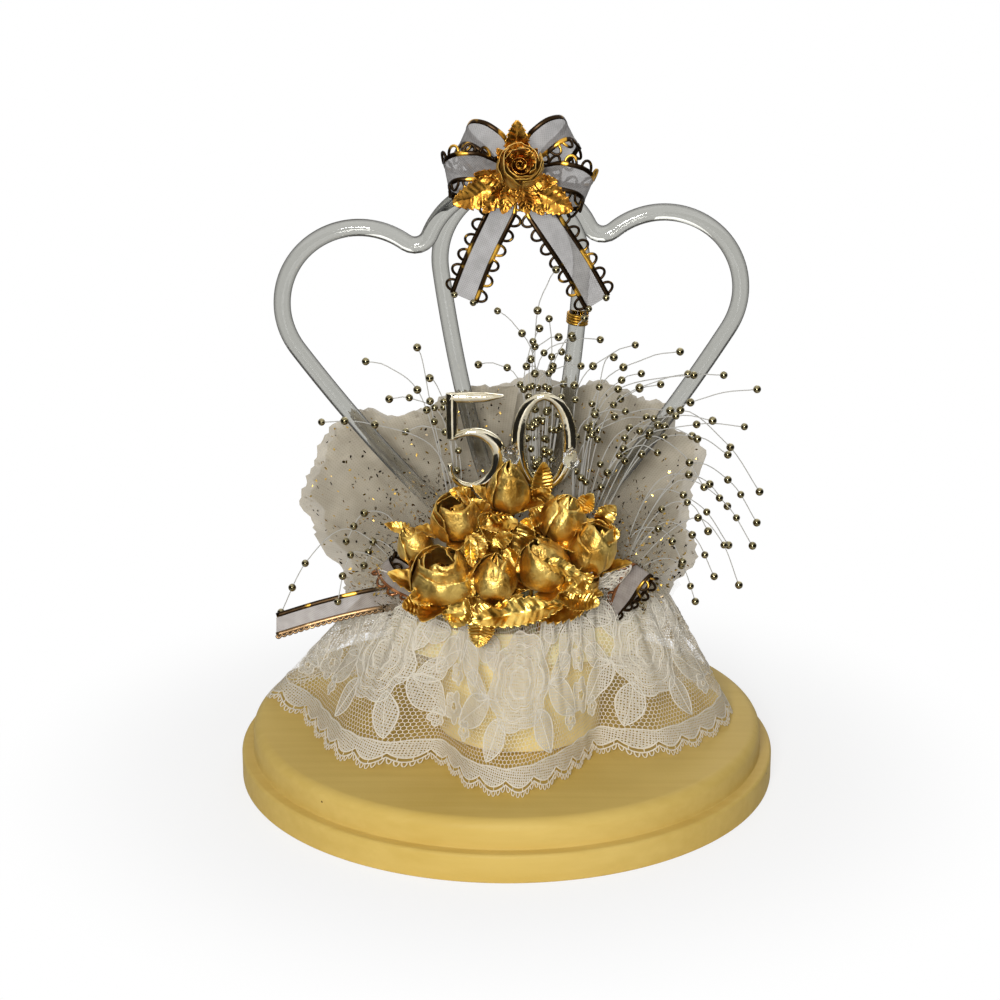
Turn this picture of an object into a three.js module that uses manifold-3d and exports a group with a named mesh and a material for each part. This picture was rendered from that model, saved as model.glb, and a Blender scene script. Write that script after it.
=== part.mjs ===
// Anniversary cake topper: a round wooden plaque, a drum and a foam block that carry two crossed
// clear hearts, a ribbon bow, numerals, foil roses, tulle, bead sprays and a lace skirt.
// Millimetres, +Z up, origin under the middle of the plaque, front towards -Y.
import * as THREE from 'three';
import { mergeVertices } from 'three/addons/utils/BufferGeometryUtils.js';
import Module from 'manifold-3d';

const wasm = await Module();
wasm.setup();

// Gap between pieces that touch: glue lines, bores round stems, cloth over foam
const FIT = 0.3;

// Plaque
const BASE_RADIUS = 89;
const BASE_HEIGHT = 19;
const BASE_STEP_HEIGHT = 9.5;
const BASE_LEDGE = 4;
const BASE_SHOULDER = 3.5;
const BASE_ARRIS = 1;

// Drum and foam, set a little forward and to the right of the plaque's middle
const ARRANGE_X = 4;
const ARRANGE_Y = -8;
const PEDESTAL_RADIUS = 27;
const PEDESTAL_HEIGHT = 31;
const PEDESTAL_ARRIS = 1.5;
const FOAM_HALF_WIDTH = 42;
const FOAM_HALF_DEPTH = 30;
const FOAM_HEIGHT = 11;
const STEM_DEPTH = 8;
const STEM_TURN = 3;

// Clear hearts: one outline, tilted to each side
const ROD = 5;
const HEART_LOBE_RADIUS = 24.6;
const HEART_LOBE_X = 23.4;
const HEART_LOBE_RISE = 101;
const HEART_LOBE_START = -19.6;
const HEART_LIMB_REACH = 58.6;
const HEART_TIP_RADIUS = 6;
const HEART_CLEFT_RADIUS = 5;
const HEART_TIP_RISE = 10.4;
const HEART_SPACING = 5.4;
const HEART_PEG = 4.4;
const LEFT_TILT = 16.4;
const RIGHT_TILT = 11.8;
const LEFT_TIP_X = 0.8;
const RIGHT_TIP_X = 1.7;

// Ribbon with looped picot edges
const RIBBON_WIDTH = 9;
const PICOT = 3;
const PICOT_PITCH = 4.9;
const RIBBON_THICK = 0.5;
const RIBBON_PINCH = 0.4;
const PINCH_SHARE = 0.28;

// Bow
const BOW_WIRE = 0.8;
const KNOT_WIDTH = 11;
const KNOT_DEPTH = 5.2;
const KNOT_HEIGHT = 13;
const KNOT_SHIFT = 2.6;
const KNOT_RISE = 4.5;
const KNOT_FORWARD = 8.1;
const BOW_OPENING = 5.5;
const TOP_ROSE = 13;
const TOP_ROSE_STANDOFF = 1.6;
const BAND_WIRE = 0.7;
const BAND_RISE = 86;

// Numerals
const NUMERAL_HEIGHT = 32;
const NUMERAL_STROKE = 2.9;
const NUMERAL_DEPTH = 2.6;
const NUMERAL_BEVEL = 0.7;
const FIVE_WIDTH = 18.5;
const FIVE_BOWL = 0.62;
const THIN_STROKE = 0.8;
const ZERO_WIDTH = 20.7;
const NUMERAL_GAP = 1.9;
const NUMERAL_RISE = 44.6;
const NUMERAL_LEFT = -23.2;
const NUMERAL_Y = -19;
const PICK_WIDTH = 3;
const PICK_THICK = 1.2;
const PICK_X = -1.9;
const PICK_BAR_RISE = 9;
const DAB_SIZE = [2.4, 1, 3.2];

// Bouquet
const STEM_WIRE = 1.6;
const STEM_SWEEP = 0.6;
const CALYX = 4.4;
const CALYX_LENGTH = 5;
const CALYX_SHARE = 0.3;
const PETAL_SWELL = 1.1;
const PETALS = 3;
const PETAL_SIDES = 5;
const PETAL_TWIST = 0.8;
const LEAF_WIRE = 1;
const LEAF_THICK = 0.5;
const LEAF_TEETH = 5;
const LEAF_FOLD = 0.12;
const FILAMENT = 0.7;
const BEAD = 2.6;
const SPRAY_Y = -14;
const SPRAY_STEM = 1.6;
const TULLE_THICK = 0.8;
const TULLE_STEM = 2;
const TULLE_NECK = 5;
const TULLE_PLEAT_DEPTH = 2;

// Lace skirt
const LACE_THICK = 0.8;
const LACE_COLUMNS = 72;
const LACE_FALL = 0.92;
const LACE_TOP_DROP = 1;
const LACE_SLACK = 0.4;

// Heights and places that follow
const PEDESTAL_FOOT = BASE_HEIGHT + FIT;
const FOAM_FOOT = PEDESTAL_FOOT + PEDESTAL_HEIGHT + FIT;
const FOAM_TOP = FOAM_FOOT + FOAM_HEIGHT;
const RADIANS = Math.PI / 180;
const X_AXIS = new THREE.Vector3(1, 0, 0);
const Y_AXIS = new THREE.Vector3(0, 1, 0);

// Share of its handles' reach that a cubic curve gets to in the middle
const CUBIC_REACH = 0.75;

// Finishes: colour, roughness, metalness
const PAINTED_WOOD = [0xd2ad5a, 0.5, 0];
const CREAM_PAINT = [0xf0e2a8, 0.6, 0];
const WHITE_FOAM = [0xeeeae0, 0.95, 0];
const CLEAR_ACRYLIC = [0xdfe3e4, 0.08, 0];
const SHEER_RIBBON = [0xd9d4cf, 0.6, 0];
const GOLD_FOIL = [0xc8942c, 0.3, 0.9];
const GOLD_WIRE = [0xb08a3c, 0.35, 1];
const SILVERED = [0xd8cfae, 0.15, 1];
const BEAD_METAL = [0x8a7d52, 0.25, 1];
const TULLE_NET = [0xb4afa5, 0.9, 0];
const WHITE_LACE = [0xe4dfd3, 0.9, 0];

const vec = (x, y, z) => new THREE.Vector3(x, y, z);
const mix = THREE.MathUtils.lerp;
const ease = THREE.MathUtils.smoothstep;

// A closed geometry from points and triangles, turned so that its faces point out
function closed(points, triangles) {
  const at = triangles.map((corner) => points[corner]);
  let volume = 0;
  for (let i = 0; i < at.length; i += 3) {
    volume += at[i].dot(at[i + 1].clone().cross(at[i + 2]));
  }
  const index = volume < 0 ? triangles.slice().reverse() : triangles;
  const geometry = new THREE.BufferGeometry();
  geometry.setAttribute('position', new THREE.Float32BufferAttribute(points.flatMap((p) => p.toArray()), 3));
  geometry.setIndex(index);
  return geometry;
}

// Two triangles over the corners a, b, c, d
const quad = (a, b, c, d) => [a, b, c, a, c, d];

// A solid through equal rings of points, capped at both ends or joined end to start
function loft(rings, joined = false) {
  const sides = rings[0].length;
  const points = rings.flat();
  const triangles = [];
  const last = joined ? rings.length : rings.length - 1;
  for (let k = 0; k < last; k++) {
    const next = (k + 1) % rings.length;
    for (let i = 0; i < sides; i++) {
      const j = (i + 1) % sides;
      triangles.push(...quad(k * sides + i, k * sides + j, next * sides + j, next * sides + i));
    }
  }
  if (joined) {
    return closed(points, triangles);
  }
  const end = (rings.length - 1) * sides;
  points.push(centreOf(rings[0]), centreOf(rings.at(-1)));
  for (let i = 0; i < sides; i++) {
    const j = (i + 1) % sides;
    triangles.push(points.length - 2, j, i, points.length - 1, end + i, end + j);
  }
  return closed(points, triangles);
}

function centreOf(ring) {
  return ring.reduce((sum, p) => sum.add(p), vec(0, 0, 0)).divideScalar(ring.length);
}

// A thin closed sheet over surface(u, v), with u and v from 0 to 1
function sheet(surface, columns, rows, thickness, wraps = false) {
  const stride = wraps ? columns : columns + 1;
  const step = 1e-3;
  const points = [];
  for (const side of [0.5, -0.5]) {
    for (let j = 0; j <= rows; j++) {
      for (let i = 0; i < stride; i++) {
        const u = i / columns;
        const v = THREE.MathUtils.clamp(j / rows, step, 1 - step);
        const along = surface(u + step, v).sub(surface(u - step, v));
        const down = surface(u, v + step).sub(surface(u, v - step));
        const normal = along.cross(down).normalize();
        points.push(surface(u, j / rows).addScaledVector(normal, side * thickness));
      }
    }
  }
  const back = stride * (rows + 1);
  const triangles = [];
  const at = (i, j) => j * stride + (i % stride);
  for (let j = 0; j < rows; j++) {
    for (let i = 0; i < columns; i++) {
      const corners = [at(i, j), at(i + 1, j), at(i + 1, j + 1), at(i, j + 1)];
      triangles.push(...quad(...corners));
      triangles.push(...quad(...corners.map((c) => c + back).reverse()));
    }
    if (!wraps) {
      triangles.push(...quad(at(0, j), at(0, j + 1), at(0, j + 1) + back, at(0, j) + back));
      const [far, farNext] = [at(columns, j), at(columns, j + 1)];
      triangles.push(...quad(farNext, far, far + back, farNext + back));
    }
  }
  for (let i = 0; i < columns; i++) {
    triangles.push(...quad(at(i + 1, 0), at(i, 0), at(i, 0) + back, at(i + 1, 0) + back));
    triangles.push(...quad(at(i, rows), at(i + 1, rows), at(i + 1, rows) + back, at(i, rows) + back));
  }
  return closed(points, triangles);
}

// A round section square to a direction
function ringAt(centre, direction, reference, radius, sides) {
  const first = reference.clone().addScaledVector(direction, -reference.dot(direction)).normalize();
  const second = direction.clone().cross(first);
  const ring = [];
  for (let i = 0; i < sides; i++) {
    const turn = (2 * Math.PI * i) / sides;
    ring.push(centre.clone()
      .addScaledVector(first, radius * Math.cos(turn))
      .addScaledVector(second, radius * Math.sin(turn)));
  }
  return ring;
}

// A capped tube along a curve, with stations [share of length, radius]
function taperedTube(curve, stations, sides, reference = X_AXIS) {
  return loft(stations.map(([share, radius]) => (
    ringAt(curve.getPointAt(share), curve.getTangentAt(share), reference, radius, sides)
  )));
}

// A tube round a flat loop of points, whose plane is square to the reference
function loopTube(points, reference, radius, sides) {
  const rings = points.map((point, i) => {
    const before = points.at(i - 1);
    const after = points[(i + 1) % points.length];
    return ringAt(point, after.clone().sub(before).normalize(), reference, radius, sides);
  });
  return loft(rings, true);
}

// Joining and cutting
function solid(geometry) {
  const bare = geometry.clone();
  bare.deleteAttribute('normal');
  bare.deleteAttribute('uv');
  const merged = mergeVertices(bare, 1e-4);
  return new wasm.Manifold(new wasm.Mesh({
    numProp: 3,
    vertProperties: new Float32Array(merged.attributes.position.array),
    triVerts: new Uint32Array(merged.index.array),
  }));
}

function geometryOf(body) {
  const mesh = body.getMesh();
  const geometry = new THREE.BufferGeometry();
  geometry.setAttribute('position', new THREE.Float32BufferAttribute(mesh.vertProperties, 3));
  geometry.setIndex(Array.from(mesh.triVerts));
  return geometry;
}

const joined = (...pieces) => geometryOf(pieces.map(solid).reduce((whole, piece) => whole.add(piece)));

function place(group, name, geometry, [color, roughness, metalness]) {
  const mesh = new THREE.Mesh(geometry, new THREE.MeshStandardMaterial({ color, roughness, metalness }));
  mesh.name = name;
  group.add(mesh);
}

// An upright cylinder between two heights
function post(x, y, low, high, radius, sides) {
  const geometry = new THREE.CylinderGeometry(radius, radius, high - low, sides);
  geometry.rotateX(Math.PI / 2);
  geometry.translate(x, y, (low + high) / 2);
  return geometry;
}

// Plaque: two tiers with a ledge between them, the upper one rounded at the shoulder
function basePlate() {
  const upper = BASE_RADIUS - BASE_LEDGE;
  const outline = new THREE.Path();
  outline.moveTo(0, 0);
  outline.lineTo(BASE_RADIUS, 0);
  outline.lineTo(BASE_RADIUS, BASE_STEP_HEIGHT - BASE_ARRIS);
  outline.lineTo(BASE_RADIUS - BASE_ARRIS, BASE_STEP_HEIGHT);
  outline.lineTo(upper, BASE_STEP_HEIGHT);
  outline.lineTo(upper, BASE_HEIGHT - BASE_SHOULDER);
  outline.absarc(upper - BASE_SHOULDER, BASE_HEIGHT - BASE_SHOULDER, BASE_SHOULDER, 0, Math.PI / 2, false);
  outline.lineTo(0, BASE_HEIGHT);
  const geometry = new THREE.LatheGeometry(outline.getPoints(2), 44);
  geometry.rotateX(Math.PI / 2);
  return geometry;
}

function pedestal() {
  const high = PEDESTAL_FOOT + PEDESTAL_HEIGHT;
  const outline = [
    [0, PEDESTAL_FOOT],
    [PEDESTAL_RADIUS, PEDESTAL_FOOT],
    [PEDESTAL_RADIUS, high - PEDESTAL_ARRIS],
    [PEDESTAL_RADIUS - PEDESTAL_ARRIS, high],
    [0, high],
  ];
  const geometry = new THREE.LatheGeometry(outline.map((p) => new THREE.Vector2(...p)), 36);
  geometry.rotateX(Math.PI / 2);
  geometry.translate(ARRANGE_X, ARRANGE_Y, 0);
  return geometry;
}

// The bouquet stands in its own frame: the middle of the foam's top is its origin
const bouquet = new THREE.Group();
bouquet.position.set(ARRANGE_X, ARRANGE_Y, FOAM_TOP);
const bores = [];

// A six-sided bore in the foam, its flats clear of a stem that goes in upright
function bore(x, y, radius) {
  const corner = (radius + FIT) / Math.cos(Math.PI / 6);
  bores.push(solid(post(x, y, -STEM_DEPTH - FIT, 1, corner, 6)));
}

// From a point down a bend into the foam, leaving the point in the given direction
function stemPath(start, heading, reach, [x, y]) {
  const path = new THREE.CurvePath();
  const turn = vec(x, y, STEM_TURN);
  path.add(new THREE.CubicBezierCurve3(
    start,
    start.clone().addScaledVector(heading, reach),
    vec(x, y, STEM_TURN + reach),
    turn,
  ));
  path.add(new THREE.LineCurve3(turn, vec(x, y, -STEM_DEPTH)));
  return path;
}

// Heart outline in its own plane: rounded tip, bowed limb, round lobe, rounded cleft
function heartLoop() {
  const lobeStart = HEART_LOBE_START * RADIANS;
  const lobeFrom = new THREE.Vector2(
    HEART_LOBE_X + HEART_LOBE_RADIUS * Math.cos(lobeStart),
    HEART_LOBE_RISE + HEART_LOBE_RADIUS * Math.sin(lobeStart),
  );
  const bend = new THREE.Vector2(
    lobeFrom.x + Math.sin(lobeStart) * HEART_LIMB_REACH,
    lobeFrom.y - Math.cos(lobeStart) * HEART_LIMB_REACH,
  );
  const splay = Math.atan2(bend.x, bend.y);
  const tipRise = HEART_TIP_RADIUS / Math.sin(splay);
  const spread = HEART_LOBE_RADIUS + HEART_CLEFT_RADIUS;
  const cleftRise = HEART_LOBE_RISE + Math.sqrt(spread ** 2 - HEART_LOBE_X ** 2);
  const cleftTurn = Math.atan2(HEART_LOBE_RISE - cleftRise, HEART_LOBE_X);
  const half = new THREE.Path();
  half.absarc(0, tipRise, HEART_TIP_RADIUS, -Math.PI / 2, -splay, false);
  half.quadraticCurveTo(bend.x, bend.y, lobeFrom.x, lobeFrom.y);
  half.absarc(HEART_LOBE_X, HEART_LOBE_RISE, HEART_LOBE_RADIUS, lobeStart, Math.PI + cleftTurn, false);
  half.absarc(0, cleftRise, HEART_CLEFT_RADIUS, cleftTurn, -Math.PI / 2, true);
  const right = half.getSpacedPoints(22);
  const left = right.slice(1, -1).reverse().map((p) => new THREE.Vector2(-p.x, p.y));
  return { loop: [...right, ...left], tip: tipRise - HEART_TIP_RADIUS };
}

// A heart point turned by its tilt and stood on its place over the foam
function heartPoint(p, tipX, y, tilt) {
  const turned = p.clone().rotateAround(new THREE.Vector2(0, 0), tilt * RADIANS);
  return vec(tipX + turned.x, y, HEART_TIP_RISE + turned.y);
}

function heart(tipX, y, tilt) {
  const { loop, tip } = heartLoop();
  const rod = loopTube(loop.map((p) => heartPoint(p, tipX, y, tilt)), Y_AXIS, ROD / 2, 8);
  const foot = heartPoint(new THREE.Vector2(0, tip), tipX, y, tilt);
  bore(foot.x, y, HEART_PEG / 2);
  return joined(rod, post(foot.x, y, -STEM_DEPTH, foot.z, HEART_PEG / 2, 8));
}

const LEFT_Y = -HEART_SPACING / 2;
const RIGHT_Y = HEART_SPACING / 2;
place(bouquet, 'left_heart', heart(LEFT_TIP_X, LEFT_Y, LEFT_TILT), CLEAR_ACRYLIC);
place(bouquet, 'right_heart', heart(RIGHT_TIP_X, RIGHT_Y, -RIGHT_TILT), CLEAR_ACRYLIC);

// Where the hearts' inner lobes cross at the top
function heartCrossing() {
  const one = heartPoint(new THREE.Vector2(HEART_LOBE_X, HEART_LOBE_RISE), LEFT_TIP_X, 0, LEFT_TILT);
  const two = heartPoint(new THREE.Vector2(-HEART_LOBE_X, HEART_LOBE_RISE), RIGHT_TIP_X, 0, -RIGHT_TILT);
  const half = two.clone().sub(one).multiplyScalar(0.5);
  const rise = Math.sqrt(HEART_LOBE_RADIUS ** 2 - half.lengthSq());
  const up = vec(-half.z, 0, half.x).normalize();
  return one.add(half).addScaledVector(up, rise * Math.sign(up.z));
}

// A thread band round the left heart's inner limb
function goldBand() {
  const limb = heartLoop().loop.map((p) => heartPoint(p, LEFT_TIP_X, LEFT_Y, LEFT_TILT));
  const after = limb.findIndex((p, i) => i > 3 && p.z > HEART_TIP_RISE + BAND_RISE);
  const share = (HEART_TIP_RISE + BAND_RISE - limb[after - 1].z) / (limb[after].z - limb[after - 1].z);
  const centre = limb[after - 1].clone().lerp(limb[after], share);
  const along = limb[after].clone().sub(limb[after - 1]).normalize();
  return loopTube(ringAt(centre, along, Y_AXIS, (ROD + BAND_WIRE) / 2 + FIT, 16), along, BAND_WIRE / 2, 6);
}

place(bouquet, 'gold_band', goldBand(), GOLD_WIRE);

// A picot-edged ribbon along a curve; side(v) is its width's direction, pinch(v) its share of full width
function ribbon(curve, side, pinch) {
  const teeth = Math.round(curve.getLength() / PICOT_PITCH);
  const rows = teeth * 2;
  const surface = (u, v) => {
    const share = THREE.MathUtils.clamp(v, 0, 1);
    const tooth = Math.abs(Math.sin(Math.PI * teeth * share));
    const half = (RIBBON_WIDTH / 2 + PICOT * tooth) * pinch(share);
    return curve.getPointAt(share).addScaledVector(side(share), (2 * u - 1) * half);
  };
  return sheet(surface, 1, rows, RIBBON_THICK);
}

// A ribbon loop from a start, out along a direction and back beside itself
function ribbonLoop(start, out, depth, length, opening, rise) {
  const side = out.clone().cross(depth).normalize();
  const far = start.clone().addScaledVector(out, length / CUBIC_REACH);
  const curve = new THREE.CubicBezierCurve3(
    start,
    far.clone().addScaledVector(side, rise),
    far.clone().addScaledVector(depth, 2 * opening),
    start.clone().addScaledVector(depth, 2 * RIBBON_THICK),
  );
  const pinch = (v) => mix(RIBBON_PINCH, 1, ease(Math.min(v, 1 - v), 0, PINCH_SHARE));
  return ribbon(curve, () => side, pinch);
}

// Bow: its own frame stands where the hearts cross
const bow = new THREE.Group();
bow.position.copy(heartCrossing());
bouquet.add(bow);

// Wire round both rods: two half rings joined by straight runs
function bowWire() {
  const radius = (ROD + BOW_WIRE) / 2 + FIT;
  const points = [];
  for (const [centre, from] of [[RIGHT_Y, -90], [LEFT_Y, 90]]) {
    for (let i = 0; i <= 6; i++) {
      const turn = (from + 30 * i) * RADIANS;
      points.push(vec(0, centre + radius * Math.cos(turn), radius * Math.sin(turn)));
    }
  }
  return loopTube(points, X_AXIS, BOW_WIRE / 2, 6);
}

place(bow, 'bow_wire', bowWire(), GOLD_WIRE);

const KNOT = vec(KNOT_SHIFT, -KNOT_FORWARD, KNOT_RISE);
const knotShape = new THREE.IcosahedronGeometry(1, 1);
knotShape.scale(KNOT_WIDTH / 2, KNOT_DEPTH / 2, KNOT_HEIGHT / 2);
knotShape.translate(KNOT.x, KNOT.y, KNOT.z);
place(bow, 'bow_knot', knotShape, SHEER_RIBBON);

// A point just outside the knot at an angle in the bow's plane
function knotEdge(angle, forward) {
  const out = vec(Math.cos(angle * RADIANS), 0, Math.sin(angle * RADIANS));
  const reach = 1 / Math.hypot((2 * out.x) / KNOT_WIDTH, (2 * out.z) / KNOT_HEIGHT) + FIT;
  return { out, start: KNOT.clone().addScaledVector(out, reach).add(vec(0, -forward, 0)) };
}

// Loops: name, angle, length, how far forward they start, opening towards the front (-1) or back (1), rise
const BOW_LOOPS = [
  ['bow_loop_left', 176, 16, 0.6, -1, 3],
  ['bow_loop_right', -13, 18, 0.6, -1, -3],
  ['bow_loop_upper_left', 135, 15, -0.6, 1, 2],
  ['bow_loop_upper_right', 40, 15.5, -0.6, 1, -2],
];
for (const [name, angle, length, forward, depth, rise] of BOW_LOOPS) {
  const { out, start } = knotEdge(angle, forward);
  const opening = vec(0, depth, 0);
  place(bow, name, ribbonLoop(start, out, opening, length, BOW_OPENING, rise), SHEER_RIBBON);
}

// A tail is gathered at its knot end
const tailPinch = (v) => mix(RIBBON_PINCH, 1, ease(v, 0, PINCH_SHARE));

// Tails: name, angle, length
const BOW_TAILS = [
  ['bow_tail_left', 247, 36],
  ['bow_tail_right', -58, 41],
];
for (const [name, angle, length] of BOW_TAILS) {
  const { out, start } = knotEdge(angle, 0);
  const end = start.clone().addScaledVector(out, length);
  const middle = start.clone().lerp(end, 0.5).add(vec(0, -1.5, 0));
  const side = out.clone().cross(Y_AXIS);
  const curve = new THREE.QuadraticBezierCurve3(start, middle, end);
  place(bow, name, ribbon(curve, () => side, tailPinch), SHEER_RIBBON);
}

// A serrated leaf from its base to its tip, folded along its rib and curled towards its face
function leafBlade(base, tip, face, width, curl) {
  const along = tip.clone().sub(base);
  const across = along.clone().cross(face).normalize();
  const up = across.clone().cross(along).normalize();
  const surface = (u, v) => {
    const tooth = Math.abs(Math.sin(Math.PI * LEAF_TEETH * v));
    const half = (width / 2) * Math.sin(Math.PI * mix(0.03, 0.97, v)) ** 0.8 * (0.78 + 0.22 * tooth);
    const shift = 2 * u - 1;
    const lift = curl * v * v + LEAF_FOLD * width * Math.abs(shift) * Math.sin(Math.PI * v);
    return base.clone()
      .addScaledVector(along, v)
      .addScaledVector(across, shift * half)
      .addScaledVector(up, lift);
  };
  return sheet(surface, 2, LEAF_TEETH * 2, LEAF_THICK);
}

// A bud along its own axis: a closed cup of wrapped petals with a hollow at its mouth
function roseBud(width, length, open) {
  const radius = width / 2 / PETAL_SWELL;
  const profile = [
    [0.28, 0], [0.72, 0.12], [1, 0.42], [0.94, 0.7], [mix(0.62, 0.9, open), 0.95],
    [mix(0.42, 0.74, open), 1], [mix(0.26, 0.5, open), 0.86], [0.16, 0.68],
  ];
  const sides = PETALS * PETAL_SIDES;
  const rings = profile.map(([wide, high]) => {
    const ring = [];
    for (let i = 0; i < sides; i++) {
      const turn = (2 * Math.PI * i) / sides;
      const wrap = (i / PETAL_SIDES + PETAL_TWIST * high) % 1;
      const out = radius * wide * mix(2 - PETAL_SWELL, PETAL_SWELL, wrap * ease(high, 0.05, 0.5));
      ring.push(vec(out * Math.cos(turn), out * Math.sin(turn), length * high));
    }
    return ring;
  });
  return loft(rings);
}

// Turns a shape's own +Z to an axis and moves its foot to a point
function aim(geometry, foot, axis) {
  geometry.applyQuaternion(new THREE.Quaternion().setFromUnitVectors(vec(0, 0, 1), axis));
  geometry.translate(foot.x, foot.y, foot.z);
  return geometry;
}

// Foil rose on a wire in front of the knot, with three leaves round its wire
const BOW_FACE = vec(0, -1, 0);
const LEAF_PLANE = KNOT.y - 2 * BOW_OPENING * CUBIC_REACH;
const topRoseFoot = vec(KNOT.x, LEAF_PLANE - TOP_ROSE_STANDOFF, KNOT.z);
function topRose() {
  const bud = aim(roseBud(TOP_ROSE, TOP_ROSE * 0.65, 0.3), topRoseFoot, BOW_FACE);
  const wire = new THREE.LineCurve3(
    vec(KNOT.x, KNOT.y - KNOT_DEPTH / 2 - FIT, KNOT.z),
    topRoseFoot.clone().addScaledVector(BOW_FACE, 1),
  );
  return joined(bud, taperedTube(wire, [[0, STEM_WIRE / 2], [1, STEM_WIRE / 2]], 6));
}
place(bow, 'top_rose', topRose(), GOLD_FOIL);

// Leaves: name, angle, length, width
const TOP_LEAVES = [
  ['top_leaf_up', 86, 16, 11],
  ['top_leaf_left', 199, 16, 10],
  ['top_leaf_right', -22, 15, 10],
];
for (const [name, angle, length, width] of TOP_LEAVES) {
  const out = vec(Math.cos(angle * RADIANS), 0, Math.sin(angle * RADIANS));
  const base = vec(KNOT.x, LEAF_PLANE, KNOT.z).addScaledVector(out, STEM_WIRE);
  place(bow, name, leafBlade(base, base.clone().addScaledVector(out, length), BOW_FACE, width, 1), GOLD_FOIL);
}

// Numerals: outlines with their foot at zero height
function fiveShape() {
  const high = NUMERAL_HEIGHT;
  const bowlX = FIVE_WIDTH / 2;
  const bowlWide = FIVE_WIDTH / 2;
  const bowlHigh = (NUMERAL_HEIGHT * FIVE_BOWL) / 2;
  const stemLeft = NUMERAL_STROKE * 0.55;
  const stemRight = stemLeft + NUMERAL_STROKE;
  const joint = Math.acos((stemRight - bowlX) / bowlWide);
  const inner = bowlWide - NUMERAL_STROKE;
  const innerHigh = bowlHigh - NUMERAL_STROKE * THIN_STROKE;
  const shape = new THREE.Shape();
  shape.moveTo(stemLeft, high);
  shape.lineTo(stemLeft, bowlHigh * 1.4);
  shape.lineTo(stemRight * 0.8, bowlHigh * 1.45);
  shape.absellipse(bowlX - 0.3, bowlHigh, inner, innerHigh, 140 * RADIANS, -165 * RADIANS, true);
  shape.absellipse(bowlX, bowlHigh, bowlWide, bowlHigh, -168 * RADIANS, joint, false);
  shape.lineTo(stemRight, high - NUMERAL_STROKE);
  shape.lineTo(FIVE_WIDTH - 2, high - NUMERAL_STROKE);
  shape.lineTo(FIVE_WIDTH - 0.5, high);
  shape.closePath();
  return shape;
}

function zeroShape() {
  const centre = [ZERO_WIDTH / 2, NUMERAL_HEIGHT / 2];
  const shape = new THREE.Shape();
  shape.absellipse(...centre, ZERO_WIDTH / 2, NUMERAL_HEIGHT / 2, 0, 2 * Math.PI, false);
  const hole = new THREE.Path();
  const wide = ZERO_WIDTH / 2 - NUMERAL_STROKE;
  const high = NUMERAL_HEIGHT / 2 - NUMERAL_STROKE * THIN_STROKE;
  hole.absellipse(...centre, wide, high, 0, 2 * Math.PI, true);
  shape.holes.push(hole);
  return shape;
}

function numeral(shape, x) {
  const geometry = new THREE.ExtrudeGeometry(shape, {
    depth: NUMERAL_DEPTH - 2 * NUMERAL_BEVEL,
    bevelThickness: NUMERAL_BEVEL,
    bevelSize: NUMERAL_BEVEL,
    bevelOffset: -NUMERAL_BEVEL,
    bevelSegments: 1,
    curveSegments: 12,
  });
  geometry.rotateX(Math.PI / 2);
  geometry.translate(x, NUMERAL_Y + NUMERAL_DEPTH / 2 - NUMERAL_BEVEL, NUMERAL_RISE);
  return geometry;
}

const ZERO_LEFT = NUMERAL_LEFT + FIVE_WIDTH + NUMERAL_GAP;
place(bouquet, 'numeral_five', numeral(fiveShape(), NUMERAL_LEFT), SILVERED);
place(bouquet, 'numeral_zero', numeral(zeroShape(), ZERO_LEFT), SILVERED);

// Clear pick behind the numerals: a cross bar on a flat stem
function numeralPick() {
  const back = NUMERAL_Y + NUMERAL_DEPTH / 2 + FIT;
  const barLength = FIVE_WIDTH / 2 + NUMERAL_GAP + ZERO_WIDTH;
  const barRise = NUMERAL_RISE + PICK_BAR_RISE;
  const bar = new THREE.BoxGeometry(barLength, PICK_THICK, PICK_WIDTH);
  bar.translate(ZERO_LEFT + ZERO_WIDTH - barLength / 2, back + PICK_THICK / 2, barRise);
  const stem = new THREE.BoxGeometry(PICK_WIDTH, PICK_THICK, barRise + STEM_DEPTH);
  stem.translate(PICK_X, back + PICK_THICK / 2, (barRise - STEM_DEPTH) / 2);
  const slot = new THREE.BoxGeometry(PICK_WIDTH + 2 * FIT, PICK_THICK + 2 * FIT, STEM_DEPTH + FIT + 1);
  slot.translate(PICK_X, back + PICK_THICK / 2, (1 - STEM_DEPTH - FIT) / 2);
  bores.push(solid(slot));
  return joined(bar, stem);
}

place(bouquet, 'numeral_pick', numeralPick(), CLEAR_ACRYLIC);

// Clear lumps of glue on the front of the numerals
const DABS = [
  ['glue_dab_left', ZERO_LEFT - NUMERAL_GAP / 2 + 1, 12],
  ['glue_dab_right', ZERO_LEFT + ZERO_WIDTH - 2, 11],
];
for (const [name, x, rise] of DABS) {
  const lump = new THREE.IcosahedronGeometry(1, 1);
  lump.scale(...DAB_SIZE);
  lump.translate(x, NUMERAL_Y - NUMERAL_DEPTH / 2 - DAB_SIZE[1] - FIT, NUMERAL_RISE + rise);
  place(bouquet, name, lump, CLEAR_ACRYLIC);
}

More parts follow.
